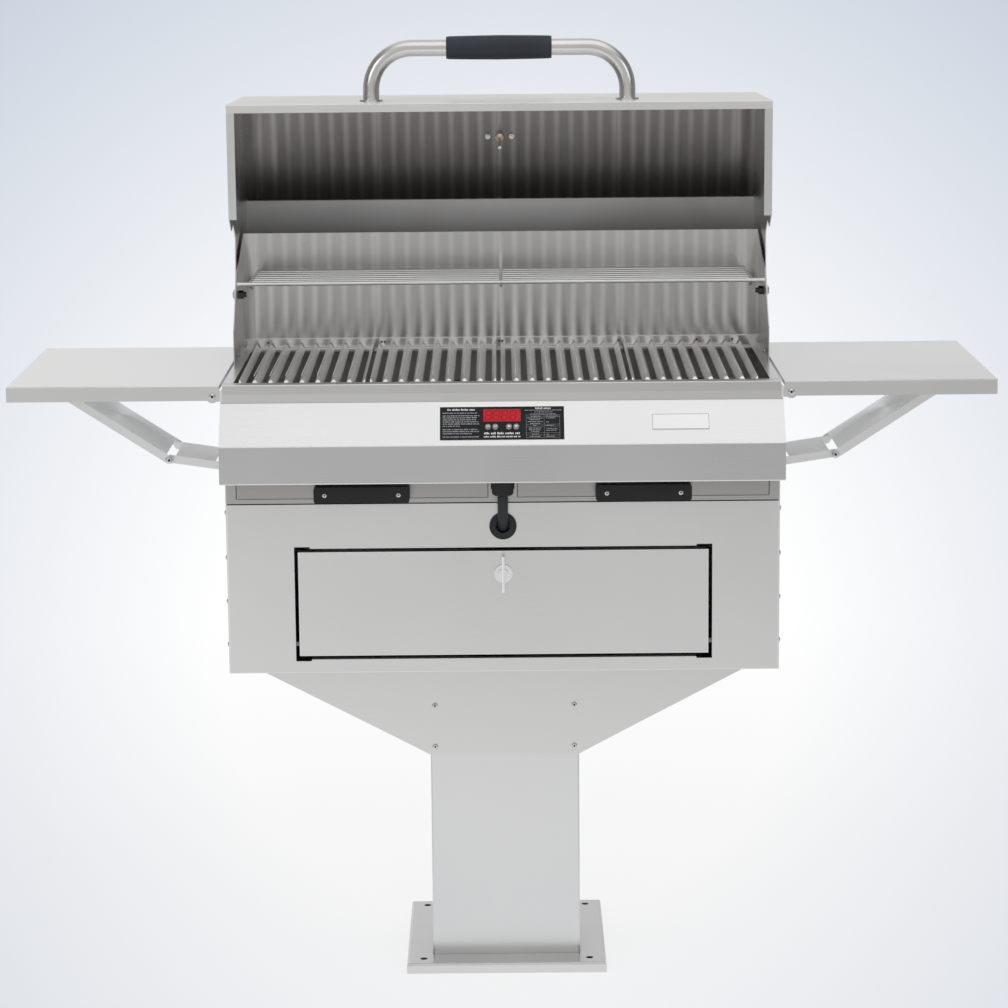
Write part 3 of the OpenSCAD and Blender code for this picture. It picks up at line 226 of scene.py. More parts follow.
def brushed_steel(name, colour, grain="X", roughness=0.3, streak=0.007, smudge=0.05, spread=0.7, dust=0.0,
                  under=None, painted_reflection_heights=None):
    """Brushed sheet: fine streaks along the grain, faint smudges and a highlight spread across the grain.

    Below a given level the steel is darkened by a given amount, painted shade; between two given heights the painted
    reflections of the grates' bars fade.
    """
    finish = Finish(name, colour, Metallic=1.0, Anisotropic=spread)
    streaks = finish.noise(1.0, 3, finish.place(GRAIN[grain]), 0.6)
    clouds = finish.noise(3.2, 3, finish.place((1, 1, 1), CLOUD_TURN))
    tone = finish.maths("ADD", finish.range(streaks, 0.25, 0.75, 1 - streak, 1 + streak * 0.5),
                        finish.range(clouds, 0.3, 0.7, -smudge, smudge * 0.5))
    tone = finish.maths("MINIMUM", tone, BRIGHTEST)
    height = finish.along("Z")
    # Below the level the steel is darker: painted shade
    if under:
        level, darker = under
        tone = finish.maths("MULTIPLY", tone, finish.range(height, level - FOLD_BLEND, level + FOLD_BLEND, darker, 1))
    # Painted reflections of the grates' bars, fading out upwards and kept off the foot
    if painted_reflection_heights:
        clear = finish.range(height, FOOT_TOP, FOOT_TOP + 2 * FOLD_BLEND, 0, 1)
        strength = finish.maths("MULTIPLY", finish.range(height, *painted_reflection_heights, 1, 0.3), clear)
        tone = finish.maths("MULTIPLY", tone, painted_bar_reflections(finish, strength, *BACKSPLASH_PAINTED_REFLECTIONS))
        # The foot is brightened: a painted highlight
        tone = finish.maths("MULTIPLY", tone, finish.range(clear, 0, 1, FOOT_PAINTED_HIGHLIGHT, 1))
    shade = finish.shade(colour, tone)
    if dust:
        shade = finish.blend(finish.range(finish.noise(55, 2), 0.62, 0.8, 0, dust), shade, BAKED_GREASE)
    rough = finish.maths("ADD", finish.range(streaks, 0.2, 0.8, roughness - 0.02, roughness + 0.03),
                         finish.range(clouds, 0.35, 0.7, -0.03, 0.05))
    finish.set(Base_Color=shade, Roughness=rough)
    finish.brush(grain)
    finish.bump(clouds, 0.0002, 0.3)
    return finish.material


# Heights of the folds below which the fronts of the shelves and of the console are darker: painted shade
SHELF_FOLD = 0.9185
CONSOLE_FOLD = 0.8355
casing_steel = brushed_steel("casing_steel", (0.76, 0.758, 0.752))
column_steel = brushed_steel("column_steel", (0.74, 0.74, 0.738), "Z", 0.34, 0.012, 0.05)
wing_steel = brushed_steel("wing_steel", (0.60, 0.59, 0.58), "Y", 0.3)
shelf_steel = brushed_steel("shelf_steel", (0.90, 0.897, 0.89), "X", 0.3, 0.006, 0.03, under=(SHELF_FOLD, 0.82))
console_steel = brushed_steel("console_steel", (0.86, 0.86, 0.86), "X", 0.28, 0.005, 0.02,
                              under=(CONSOLE_FOLD, 0.74))
badge_steel = brushed_steel("badge_steel", (0.96, 0.96, 0.96), "X", 0.35, 0.01, 0.01)
rim_steel = brushed_steel("rim_steel", (0.66, 0.655, 0.645), "X", 0.3)
# The fascia's steel is a darker copy of the casing's steel: painted shade under the console's overhang
fascia_steel = brushed_steel("fascia_steel", (0.50, 0.495, 0.485), "X", 0.32)
link_steel = brushed_steel("link_steel", (0.88, 0.88, 0.875), "X", 0.4)
inner_steel = brushed_steel("inner_steel", (0.50, 0.46, 0.42), "X", 0.45, 0.06, 0.1, 0.4, 0.4)
tray_steel = brushed_steel("tray_steel", (0.48, 0.47, 0.455), "X", 0.38, 0.01, 0.08)
# The backsplash carries painted reflections of the grates' bars
backsplash_steel = brushed_steel("backsplash_steel", (0.68, 0.67, 0.655), "X", 0.13, 0.012, 0.07, 1.0, 0.15,
                                 painted_reflection_heights=(0.94, 1.12))


def outside_of(finish, vector, here, there):
    """How far each point lies outside one flat of the hood's sheet, given by two corners of its outline."""
    run = (there - here).normalized()
    outward = Vector((0, -run.z, run.y))
    return finish.maths("SUBTRACT", finish.dot(vector, outward), outward.dot(here))


HOOD_BRIGHT = (0.84, 0.835, 0.825)
HOOD_INSIDE_DARK = (0.25, 0.24, 0.23)
# Pale colour of the lower inner panel: painted light
HOOD_PAINTED_PALE = (1.0, 0.99, 0.98)
HOOD_SMOKE = (0.2, 0.17, 0.14)

# Where the sheet's inside gives way to its outside: the depth under the outline, and Y at the hem
SKIN_DEPTH = (-0.0008, -0.0006)
HEM_Y = (-0.0210, -0.0205)

# Heights between which the lower inner panel fades darker towards its foot, painted shade, and the width of its upper
# border
LOWER_PANEL_FOOT = 1.085
LOWER_PANEL_TOP = 1.138
LOWER_PANEL_BORDER = 0.002


def hood_steel():
    """Brushed outside and a darker inside, told apart by the planes of the sheet, with painted reflections of the
    bars on the inside; the lower inner panel is painted pale and fades darker towards its foot: painted light and
    painted shade.
    """
    finish = Finish("hood_steel", HOOD_BRIGHT, Metallic=1.0, Anisotropic=1.0)
    vector = finish.place()
    streaks = finish.noise(1.0, 3, finish.place(GRAIN["X"]), 0.6)
    clouds = finish.noise(6, 4)
    outer = outside_of(finish, vector, *HOOD_OUTLINE[:2])
    for here, there in zip(HOOD_OUTLINE[1:], HOOD_OUTLINE[2:]):
        outer = finish.maths("MAXIMUM", outer, outside_of(finish, vector, here, there))
    height = finish.along("Z", vector)
    hem = finish.range(finish.along("Y", vector), *HEM_Y, 1, 0)
    outside = finish.maths("MAXIMUM", finish.range(outer, *SKIN_DEPTH, 0, 1), hem)
    inside = finish.maths("SUBTRACT", 1.0, outside)
    lower = finish.range(height, LOWER_PANEL_TOP, LOWER_PANEL_TOP + LOWER_PANEL_BORDER, 1, 0)
    lower_inside = finish.maths("MULTIPLY", inside, lower)
    tone = finish.maths("ADD", finish.range(streaks, 0.25, 0.75, 0.98, 1.01),
                        finish.range(clouds, 0.3, 0.7, -0.04, 0.03))
    # Painted reflections of the grates' bars on the hood's inside, above the lower inner panel
    painted_reflection_tone = painted_bar_reflections(finish, finish.maths("SUBTRACT", inside, lower_inside), *HOOD_PAINTED_REFLECTIONS)
    tone = finish.maths("MULTIPLY", tone, painted_reflection_tone)
    colour = finish.blend(outside, HOOD_INSIDE_DARK, HOOD_BRIGHT)
    # The lower inner panel: a pale colour as painted light, darker towards its foot as painted shade
    painted_shade_fade = finish.range(height, LOWER_PANEL_FOOT, LOWER_PANEL_TOP, 0.3, 1.0)
    colour = finish.blend(lower_inside, colour, finish.shade(HOOD_PAINTED_PALE, painted_shade_fade))
    smoke = finish.maths("MULTIPLY", finish.range(clouds, 0.52, 0.7, 0, 0.22), inside)
    colour = finish.blend(smoke, finish.shade(colour, tone), HOOD_SMOKE)
    rough = finish.maths("MAXIMUM", finish.range(outside, 0, 1, 0.14, 0.3), finish.range(lower_inside, 0, 1, 0, 0.55))
    finish.set(Base_Color=colour, Roughness=rough, Metallic=finish.range(lower_inside, 0, 1, 1, 0.1))
    finish.brush("X")
    return finish.material


BAR_CLEAN = (0.95, 0.94, 0.93)
BAR_STAINED = (0.62, 0.58, 0.54)
BAR_FOOT_BROWN = (0.34, 0.28, 0.23)

# Heights between which the brown lower down on the bars gives way to clean steel
BAR_BROWN_LEVEL = (0.9115, 0.9155)


def grate_steel():
    """Pressed bars: clean crests, greyer flanks, and brown lower down in the gaps."""
    finish = Finish("grate_steel", (0.86, 0.85, 0.83), Metallic=1.0)
    mottle = finish.noise(60, 3, finish.place((1, 0.25, 1)))
    ragged = finish.maths("ADD", finish.along("Z"), finish.range(mottle, 0.2, 0.8, -0.002, 0.002))
    colour = finish.blend(finish.range(ragged, *BAR_BROWN_LEVEL, 1, 0), BAR_CLEAN, BAR_FOOT_BROWN)
    colour = finish.blend(finish.range(finish.noise(9, 2), 0.5, 0.75, 0, 0.25), colour, BAR_STAINED)
    finish.set(Base_Color=colour, Roughness=finish.range(mottle, 0.3, 0.7, 0.34, 0.5))
    finish.bump(mottle, 0.00005, 0.4)
    return finish.material


PROBE_BRASS = (0.62, 0.42, 0.22)
PROBE_STEEL = (0.92, 0.92, 0.90)

# Where brass and steel meet: X at the studs, X at the needle, and the dial's depth under the hood's outline
STUD_EDGE = (0.0100, 0.0102)
NEEDLE_EDGE = (0.0026, 0.0027)
DIAL_DEPTH = (-0.0018, -0.0016)


def thermometer_metal():
    """A steel probe in a brass fitting, between two steel studs, and the steel dial outside the hood."""
    finish = Finish("thermometer_metal", (0.55, 0.40, 0.24), Metallic=1.0)
    across = finish.maths("ABSOLUTE", finish.along("X"))
    depth = outside_of(finish, finish.place(), *HOOD_OUTLINE[1:3])
    steel = finish.maths("MAXIMUM", finish.range(across, *STUD_EDGE, 0, 1), finish.range(across, *NEEDLE_EDGE, 1, 0))
    steel = finish.maths("MAXIMUM", steel, finish.range(depth, *DIAL_DEPTH, 0, 1))
    finish.set(Base_Color=finish.blend(steel, PROBE_BRASS, PROBE_STEEL),
               Roughness=finish.range(finish.noise(300, 2), 0.3, 0.7, 0.25, 0.4))
    return finish.material


BOLT_BRIGHT = (0.80, 0.80, 0.79)
NUT_DARK = (0.09, 0.085, 0.08)

# The nuts' edges: they lie nearer the middle than this X, and above this Z
NUT_X = (0.4062, 0.4064)
NUT_Z = (0.99, 0.991)


def bolt_metal():
    """Bright screws, and darker nuts on the hood's pivot bolts inside the wings."""
    finish = Finish("bolt_metal", (0.66, 0.66, 0.66), Metallic=1.0)
    across = finish.maths("ABSOLUTE", finish.along("X"))
    nuts = finish.maths("MULTIPLY", finish.range(across, *NUT_X, 1, 0), finish.range(finish.along("Z"), *NUT_Z, 0, 1))
    finish.set(Base_Color=finish.blend(nuts, BOLT_BRIGHT, NUT_DARK),
               Roughness=finish.range(finish.noise(300, 2), 0.3, 0.7, 0.25, 0.36))
    return finish.material


def polished_steel(name, colour, roughness):
    """Smooth round steel, with a slight unevenness of tone and gloss."""
    finish = Finish(name, colour, Metallic=1.0)
    finish.set(Roughness=finish.range(finish.noise(220, 2), 0.3, 0.7, roughness - 0.03, roughness + 0.05),
               Base_Color=finish.shade(colour, finish.range(finish.noise(12, 3), 0.3, 0.7, 0.95, 1.02)))
    return finish.material


def dull(name, colour, roughness=0.5, grain=900, bump=0.00005, mottle=0.15, **shader):
    """Moulded plastic, rubber or paint: fine surface grain and slight unevenness of tone and gloss."""
    finish = Finish(name, colour, **shader)
    fine = finish.noise(grain, 2)
    clouds = finish.noise(18, 3)
    finish.set(Base_Color=finish.shade(colour, finish.range(clouds, 0.3, 0.7, 1 - mottle, 1 + mottle)),
               Roughness=finish.range(fine, 0.3, 0.7, roughness - 0.06, roughness + 0.08))
    finish.bump(fine, bump, 0.7)
    return finish.material


def red_filter():
    """Dark red plastic in front of an unlit display, with a faint painted glow."""
    finish = Finish("red_window", (0.42, 0.012, 0.022), Roughness=0.4, Specular_IOR_Level=0.15, Emission_Strength=0.3)
    colour = finish.blend(finish.range(finish.noise(160, 2), 0.3, 0.7, 0, 1), (0.40, 0.010, 0.018),
                          (0.46, 0.014, 0.024))
    finish.set(Base_Color=colour, Emission_Color=colour)
    return finish.material


hood_skin = hood_steel()
bar_steel = grate_steel()
chrome = polished_steel("polished_steel", (0.86, 0.86, 0.87), 0.06)
button_chrome = polished_steel("button_steel", (0.34, 0.34, 0.34), 0.35)
handle_steel = polished_steel("handle_tube_steel", (0.80, 0.795, 0.785), 0.2)
rod_steel = polished_steel("rack_rod_steel", (0.93, 0.93, 0.92), 0.42)
pin_steel = polished_steel("pin_steel", (0.25, 0.25, 0.25), 0.4)
rivet_steel = polished_steel("rivet_steel", (0.20, 0.195, 0.19), 0.4)
fold_steel = polished_steel("folded_edge_steel", (0.97, 0.97, 0.97), 0.35)
crest_steel = dull("bar_crest_steel", (0.86, 0.86, 0.85), 0.4, 300, 0.00001, 0.1, Metallic=0.35)
bar_end_steel = polished_steel("bar_end_steel", (0.97, 0.97, 0.96), 0.45)
screw_steel = polished_steel("small_screw_steel", (0.74, 0.74, 0.73), 0.24)
bolts = bolt_metal()
probe_metal = thermometer_metal()
sheath = dull("element_sheath", (0.10, 0.09, 0.085), 0.55, Metallic=0.6)
black_coat = dull("handle_black", (0.011, 0.011, 0.012), 0.45, 1100, 0.00006, Specular_IOR_Level=0.35)
seal_black = dull("seal_black", (0.02, 0.02, 0.021), 0.8)
# Black for the screws' recesses and sockets: painted shade
socket_black = dull("socket_black", (0.012, 0.012, 0.012), 0.7)
label_film = dull("label_black", (0.010, 0.011, 0.013), 0.5, 500, 0.00002, Specular_IOR_Level=0.25)
label_print = dull("label_print", (0.44, 0.44, 0.45), 0.6, mottle=0.05, Specular_IOR_Level=0.2)
label_white = dull("label_white", (0.82, 0.82, 0.82), 0.6, mottle=0.05, Specular_IOR_Level=0.2)
red_window = red_filter()
segment_red = dull("segment_dark_red", (0.17, 0.010, 0.014), 0.5, Specular_IOR_Level=0.25)
cord_rubber = dull("cord_rubber", (0.016, 0.017, 0.019), 0.5, 700, 0.00008, Specular_IOR_Level=0.35)
grip_rubber = dull("grip_rubber", (0.022, 0.027, 0.037), 0.5, 600, 0.00014, 0.2, Specular_IOR_Level=0.4)
galvanised = dull("galvanised_box", (0.38, 0.38, 0.37), 0.45, 60, 0.0001, 0.25, Metallic=0.9)

NODE_FINISH = {
    casing_steel: ["neck_front", "neck_rear", "cabinet_front", "cabinet_wrap", "firebox_wrap",
                   "door_panel", "hood_ends", "base_cover"],
    column_steel: ["column"],
    fascia_steel: ["firebox_front"],
    wing_steel: ["hood_wings"],
    shelf_steel: ["shelf_left", "shelf_right"],
    console_steel: ["console"],
    badge_steel: ["badge_plate"],
    rim_steel: ["front_rim"],
    link_steel: ["upper_link_left", "upper_link_right", "lower_link_left", "lower_link_right", "shelf_brackets"],
    inner_steel: ["base_plate", "cabinet_floor", "drip_floor", "tray_runners", "element_rails", "latch_cam"],
    tray_steel: ["tray_left", "tray_right"],
    backsplash_steel: ["backsplash"],
    hood_skin: ["hood_shell"],
    bar_steel: ["grate_1", "grate_2", "grate_3", "grate_4"],
    chrome: ["latch_rose", "latch_handle"],
    pin_steel: ["door_hinge_pins"],
    button_chrome: ["button_on", "button_off", "button_up", "button_down"],
    handle_steel: ["hood_handle"],
    rod_steel: ["warming_rack"],
    bolts: ["casing_screws", "hinge_bolts"],
    probe_metal: ["thermometer"],
    sheath: ["heating_elements"],
    black_coat: ["tray_handle_left", "tray_handle_right", "strain_relief"],
    seal_black: ["seam_spacer"],
    label_film: ["display_panel"],
    red_window: ["display_window"],
    cord_rubber: ["power_cord", "cord_grommet"],
    grip_rubber: ["handle_grip"],
    galvanised: ["junction_box", "control_box"],
}


def finish_nodes():
    for material, names in NODE_FINISH.items():
        for name in names:
            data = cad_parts[name].data
            data.materials.clear()
            data.materials.append(material)
    bare = [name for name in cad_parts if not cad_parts[name].data.materials]
    assert not bare, bare


finish_nodes()


# Pieces: measures in metres, figures drawn in millimetres

class PieceTree:
    """A Geometry Nodes tree under construction, with named inputs."""

    def __init__(self, name):
        self.group = bpy.data.node_groups.new(name, "GeometryNodeTree")
        self.group.interface.new_socket("Geometry", in_out="INPUT", socket_type="NodeSocketGeometry")
        self.group.interface.new_socket("Geometry", in_out="OUTPUT", socket_type="NodeSocketGeometry")
        self.way_in = self.group.nodes.new("NodeGroupInput")
        self.way_out = self.group.nodes.new("NodeGroupOutput")

    def named(self, name, kind, default=None):
        socket = self.group.interface.new_socket(name, in_out="INPUT", socket_type="NodeSocket" + kind)
        if default is not None:
            socket.default_value = default
        return self.way_in.outputs[name]

    def add(self, kind, **inputs):
        node = self.group.nodes.new(kind)
        for name, value in inputs.items():
            self.feed(node.inputs[name.replace("_", " ")], value)
        return node

    def feed(self, socket, value):
        if isinstance(value, bpy.types.NodeSocket):
            self.group.links.new(value, socket)
        else:
            socket.default_value = value

    def maths(self, operation, first, second):
        node = self.add("ShaderNodeMath")
        node.operation = operation
        self.feed(node.inputs[0], first)
        self.feed(node.inputs[1], second)
        return node.outputs[0]

    def vector(self, x, y, z):
        return self.add("ShaderNodeCombineXYZ", X=x, Y=y, Z=z).outputs[0]

    def end(self, geometry):
        self.feed(self.way_out.inputs["Geometry"], geometry)
        return self.group


# A screw's recess: the length and width of its bars as shares of the head's diameter, and its depth of the height
RECESS_LENGTH = 0.56
RECESS_WIDTH = 0.13
RECESS_DEPTH = 2.02


def screw_tree():
    """A low domed head at each point, facing one way, with a cross recess painted dark: painted shade."""
    tree = PieceTree("screw_heads")
    points = tree.way_in.outputs["Geometry"]
    width = tree.named("Head Diameter", "Float", 0.0075)
    height = tree.named("Head Height", "Float", 0.0025)
    facing = tree.named("Facing", "Vector", FORWARD)
    metal = tree.named("Metal", "Material")
    dark = tree.named("Recess", "Material")
    ball = tree.add("GeometryNodeMeshUVSphere", Segments=20, Rings=12, Radius=1.0)
    half = tree.maths("MULTIPLY", width, 0.5)
    dome = tree.add("GeometryNodeTransform", Geometry=ball.outputs[0], Scale=tree.vector(half, half, height))
    smooth = tree.add("GeometryNodeSetShadeSmooth", Geometry=dome.outputs[0])
    long = tree.maths("MULTIPLY", width, RECESS_LENGTH)
    thin = tree.maths("MULTIPLY", width, RECESS_WIDTH)
    deep = tree.maths("MULTIPLY", height, RECESS_DEPTH)
    slots = [tree.add("GeometryNodeMeshCube", Size=tree.vector(*size)).outputs["Mesh"]
             for size in ((long, thin, deep), (thin, long, deep))]
    cross = tree.add("GeometryNodeJoinGeometry")
    for slot in slots:
        tree.feed(cross.inputs[0], slot)
    mark = tree.add("GeometryNodeStoreNamedAttribute", Geometry=cross.outputs[0], Name="recess")
    mark.data_type = "BOOLEAN"
    mark.domain = "FACE"
    next(socket for socket in mark.inputs if socket.name == "Value" and socket.type == "BOOLEAN").default_value = True
    head = tree.add("GeometryNodeJoinGeometry")
    tree.feed(head.inputs[0], smooth.outputs[0])
    tree.feed(head.inputs[0], mark.outputs[0])
    turn = tree.add("FunctionNodeAlignRotationToVector", Vector=facing)
    turn.axis = "Z"
    spread = tree.add("GeometryNodeInstanceOnPoints", Points=points, Instance=head.outputs[0],
                      Rotation=turn.outputs[0])
    real = tree.add("GeometryNodeRealizeInstances", Geometry=spread.outputs[0])
    plain = tree.add("GeometryNodeSetMaterial", Geometry=real.outputs[0], Material=metal)
    marked = tree.add("GeometryNodeInputNamedAttribute", Name="recess")
    marked.data_type = "BOOLEAN"
    picked = next(socket for socket in marked.outputs if socket.type == "BOOLEAN" and socket.enabled)
    final = tree.add("GeometryNodeSetMaterial", Geometry=plain.outputs[0], Selection=picked, Material=dark)
    return tree.end(final.outputs[0])


FOLD_RADIUS = 0.0008


def fold_tree():
    """A slim round along each line: the outer radius of a folded sheet edge."""
    tree = PieceTree("folded_edges")
    lines = tree.way_in.outputs["Geometry"]
    radius = tree.named("Fold Radius", "Float", FOLD_RADIUS)
    metal = tree.named("Metal", "Material")
    path = tree.add("GeometryNodeMeshToCurve", Mesh=lines)
    ring = tree.add("GeometryNodeCurvePrimitiveCircle", Resolution=10, Radius=radius)
    tube = tree.add("GeometryNodeCurveToMesh", Curve=path.outputs[0], Profile_Curve=ring.outputs[0], Fill_Caps=True)
    smooth = tree.add("GeometryNodeSetShadeSmooth", Geometry=tube.outputs[0])
    real = tree.add("GeometryNodeRealizeInstances", Geometry=smooth.outputs[0])
    return tree.end(tree.add("GeometryNodeSetMaterial", Geometry=real.outputs[0], Material=metal).outputs[0])


def grow(name, mesh, tree, **inputs):
    """Runs a tree on a mesh and keeps the plain result."""
    piece = linked(bpy.data.objects.new(name, mesh))
    modifier = piece.modifiers.new("shape", "NODES")
    modifier.node_group = tree
    for item in tree.interface.items_tree:
        if item.item_type == "SOCKET" and item.in_out == "INPUT" and item.name.replace(" ", "_") in inputs:
            modifier[item.identifier] = inputs[item.name.replace(" ", "_")]
    evaluated = piece.evaluated_get(bpy.context.evaluated_depsgraph_get())
    result = bpy.data.meshes.new_from_object(evaluated)
    piece.modifiers.clear()
    piece.data = result
    result.name = name
    return piece


def dress(piece, body):
    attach(piece, body)
    return piece


def make_piece(name, mesh, material, body):
    """Makes a piece of one material from a finished mesh."""
    mesh.materials.append(material)
    return dress(linked(bpy.data.objects.new(name, mesh)), body)


def close(name, bm):
    """Turns a bmesh's faces outwards and makes a mesh of it."""
    bmesh.ops.recalc_face_normals(bm, faces=bm.faces)
    mesh = bpy.data.meshes.new(name)
    bm.to_mesh(mesh)
    bm.free()
    return mesh


SCREWS = screw_tree()
FOLDS = fold_tree()


def screws(name, places, facing, body, width=0.0075, height=0.0022, metal=screw_steel):
    mesh = bpy.data.meshes.new(name)
    mesh.from_pydata(places, [], [])
    piece = grow(name, mesh, SCREWS, Head_Diameter=width, Head_Height=height, Facing=facing, Metal=metal,
                 Recess=socket_black)
    return dress(piece, body)


def folds(name, lines, body, radius=FOLD_RADIUS, metal=fold_steel):
    corners, edges = [], []
    for line in lines:
        start = len(corners)
        corners += [tuple(corner) for corner in line]
        edges += [(start + i, start + i + 1) for i in range(len(line) - 1)]
    mesh = bpy.data.meshes.new(name)
    mesh.from_pydata(corners, edges, [])
    return dress(grow(name, mesh, FOLDS, Fold_Radius=radius, Metal=metal), body)


# The console's sloping face: its middle, its upward direction and its outward direction
SLOPE = Matrix(((1, 0, 0, 0), (0, 0.6197, -0.7848, -0.2530), (0, 0.7848, 0.6197, 0.8645), (0, 0, 0, 1)))

# Levels over that face, in millimetres
LABEL_FACE = 1.2
PRINT_TOP = LABEL_FACE + 0.05
BUTTON_TOP = 4.0
MARK_FOOT = BUTTON_TOP - 0.3
MARK_TOP = BUTTON_TOP + 0.05
WORD_FOOT = BUTTON_TOP - 0.15
WORD_DEPTH = 0.2


def drawn(name, figures, low, high, material, body):
    """Closed plates from flat outlines in millimetres, between two levels over the sloping face."""
    bm = bmesh.new()
    for outline in figures:
        rings = [[bm.verts.new(SLOPE @ Vector((x * MM, y * MM, z * MM))) for x, y in outline] for z in (low, high)]
        bm.faces.new(reversed(rings[0]))
        bm.faces.new(rings[1])
        for i in range(len(outline)):
            j = (i + 1) % len(outline)
            bm.faces.new((rings[0][i], rings[0][j], rings[1][j], rings[1][i]))
    return make_piece(name, close(name, bm), material, body)


def oblong(x0, x1, y0, y1):
    return [(x0, y0), (x1, y0), (x1, y1), (x0, y1)]


DIGIT_WIDTH = 8.2
DIGIT_HEIGHT = 15.2
DIGIT_STROKE = 1.35
DIGIT_GAP = 0.35
DIGIT_SLANT = 0.12


def pointed_bar(start, end):
    """A bar of a digit between two corners, as places along it and across it."""
    half = DIGIT_STROKE / 2
    start, end = start + DIGIT_GAP + half, end - DIGIT_GAP - half
    return [(start - half + DIGIT_GAP, 0), (start + DIGIT_GAP, half), (end - DIGIT_GAP, half),
            (end + half - DIGIT_GAP, 0), (end - DIGIT_GAP, -half), (start + DIGIT_GAP, -half)]


def digit(x, y):
    """Seven bars with pointed ends, leaning to the right."""
    middle = DIGIT_HEIGHT / 2
    figures = [[(along, level + across) for along, across in pointed_bar(0, DIGIT_WIDTH)]
               for level in (0, middle, DIGIT_HEIGHT)]
    figures += [[(side + across, along) for along, across in pointed_bar(level, level + middle)]
                for side in (0, DIGIT_WIDTH) for level in (0, middle)]
    return [[(x + px + DIGIT_SLANT * py, y + py) for px, py in figure] for figure in figures]


def greeked(rows, seed):
    """Rows of small blocks that read as print from a step away and say nothing."""
    pick = random.Random(seed)
    figures = []
    for x0, x1, level, tall in rows:
        x = x0
        while x < x1 - tall * 0.5:
            for _ in range(pick.randint(2, 7)):
                wide = tall * pick.uniform(0.3, 0.5)
                if x + wide > x1:
                    break
                top = tall * pick.choice((0.72, 0.72, 0.78, 1.0))
                figures.append(oblong(x, x + wide, level - tall / 2, level - tall / 2 + top))
                x += wide + tall * 0.24
            x += tall * 0.5
    return figures


def word(name, text, size, x, body):
    """A word on a button, its letters a little above the dome."""
    curve = bpy.data.curves.new(name, "FONT")
    curve.body = text
    curve.size = size * MM
    curve.extrude = WORD_DEPTH * MM
    curve.align_x = "CENTER"
    curve.align_y = "CENTER"
    writing = linked(bpy.data.objects.new(name + "_curve", curve))
    evaluated = writing.evaluated_get(bpy.context.evaluated_depsgraph_get())
    mesh = bpy.data.meshes.new_from_object(evaluated)
    bpy.data.objects.remove(writing)
    mesh.transform(SLOPE @ Matrix.Translation((x * MM, WORD_Y * MM, WORD_FOOT * MM)))
    mesh.materials.clear()
    make_piece(name, mesh, label_white, body)


# The label's print, in millimetres from the middle of the sloping face: rows from, to, at a height, and how tall
LEFT_ROWS = [(-86, -35, 16.9, 1.9), (-86, -32, 12.4, 1.9), (-86, -36, 9.1, 1.9), (-86, -38, 5.7, 1.9),
             (-86, -34, 2.3, 1.9), (-86, -33, -1.2, 1.9), (-86, -61, -4.9, 1.9), (-86, -35, -10.4, 1.9),
             (-86, -33, -13.8, 1.9), (-86, -42, -17.3, 1.9), (-86, -34, -22.7, 1.9)]
RIGHT_ROWS = [(33, 86, 20.8, 1.4), (47, 74, 17.7, 1.4), (41, 78, 14.4, 1.4),
              (42, 56, 10.8, 1.5), (64, 81, 10.8, 1.5), (37, 59, 7.6, 1.5), (40, 56, 4.8, 1.5), (37, 59, 1.6, 1.5),
              (41, 56, -1.3, 1.5), (45, 51, -4.6, 1.5), (39, 57, -9.0, 1.5), (39, 57, -11.8, 1.5),
              (42, 55, -14.6, 1.5), (43, 53, -19.0, 1.5), (40, 56, -22.8, 1.5), (64, 78, 7.6, 1.5),
              (64, 69, 1.1, 1.5), (64, 76, -4.6, 1.5), (64, 81, -10.0, 1.5), (64, 80, -13.0, 1.5),
              (64, 68, -19.0, 1.5), (64, 76, -22.8, 1.5)]
HEADINGS = [(-79, -39, 22.4, 3.0), (48.5, 71, 24.0, 2.8), (-26, 26, -17.1, 3.6)]
SMALL_HEADING = [(-26.5, 26.5, -22.7, 2.6)]
PRINT_SEED = 5
HEADING_SEED = 8
TABLE_LEVELS = (12.6, 9.2, -2.9, -6.2, -17.2, -20.8, -24.9)
TABLE_SIDES = (35, 61, 83.5)
TABLE_LINE = 0.22
DIGITS_X = (-24.6, -13.4, -1.4, 10.6)
DIGITS_Y = 5.1
WINDOW_BAR = (24.3, 24.9, 3.6, 22.2)
ARROW_UP = [(7.6, -8.1), (12.2, -8.1), (9.9, -5.2)]
ARROW_DOWN = [(18.2, -5.9), (20.5, -8.8), (22.8, -5.9)]
WORD_Y = -7


def dress_display():
    """The label's print, the window's digits and the marks on the buttons."""
    table = [oblong(TABLE_SIDES[0], TABLE_SIDES[-1], y, y + TABLE_LINE) for y in TABLE_LEVELS]
    table += [oblong(x, x + TABLE_LINE, TABLE_LEVELS[-1], TABLE_LEVELS[0]) for x in TABLE_SIDES]
    small_print = greeked(LEFT_ROWS + RIGHT_ROWS, PRINT_SEED) + table
    headings = greeked(HEADINGS + SMALL_HEADING, HEADING_SEED)
    digits = [figure for x in DIGITS_X for figure in digit(x, DIGITS_Y)] + [oblong(*WINDOW_BAR)]
    drawn("display_small_print", small_print, LABEL_FACE, PRINT_TOP, label_print, "frame")
    drawn("display_headings", headings, LABEL_FACE, PRINT_TOP, label_white, "frame")
    drawn("display_digits", digits, LABEL_FACE, PRINT_TOP, segment_red, "frame")
    drawn("mark_up", [ARROW_UP], MARK_FOOT, MARK_TOP, label_white, "up_button")
    drawn("mark_down", [ARROW_DOWN], MARK_FOOT, MARK_TOP, label_white, "down_button")
    word("mark_on", "ON", 3.6, -20.5, "on_button")
    word("mark_off", "OFF", 3.4, -9.9, "off_button")


HANDLE_LIP_Y = -0.244
HANDLE_MIDDLE_Z = 0.7585
HANDLE_X = 0.206
HANDLE_SCREW_X = 0.054
WING_FACE = 0.403
WING_FOOT_Y = (0.034, 0.150)
WING_FOOT_Z = 0.928
BACKSPLASH_FACE = 0.1685
BACKSPLASH_SCREW_X = (-0.391, 0, 0.391)
BACKSPLASH_SCREW_Z = 1.017
FOOT_FACE = BACKSPLASH_FACE - 0.005
FOOT_RIVET_X = (-0.367, -0.1885, -0.1835, -0.0035, 0.0015, 0.184, 0.307, 0.363)
FOOT_RIVET_Z = 0.930


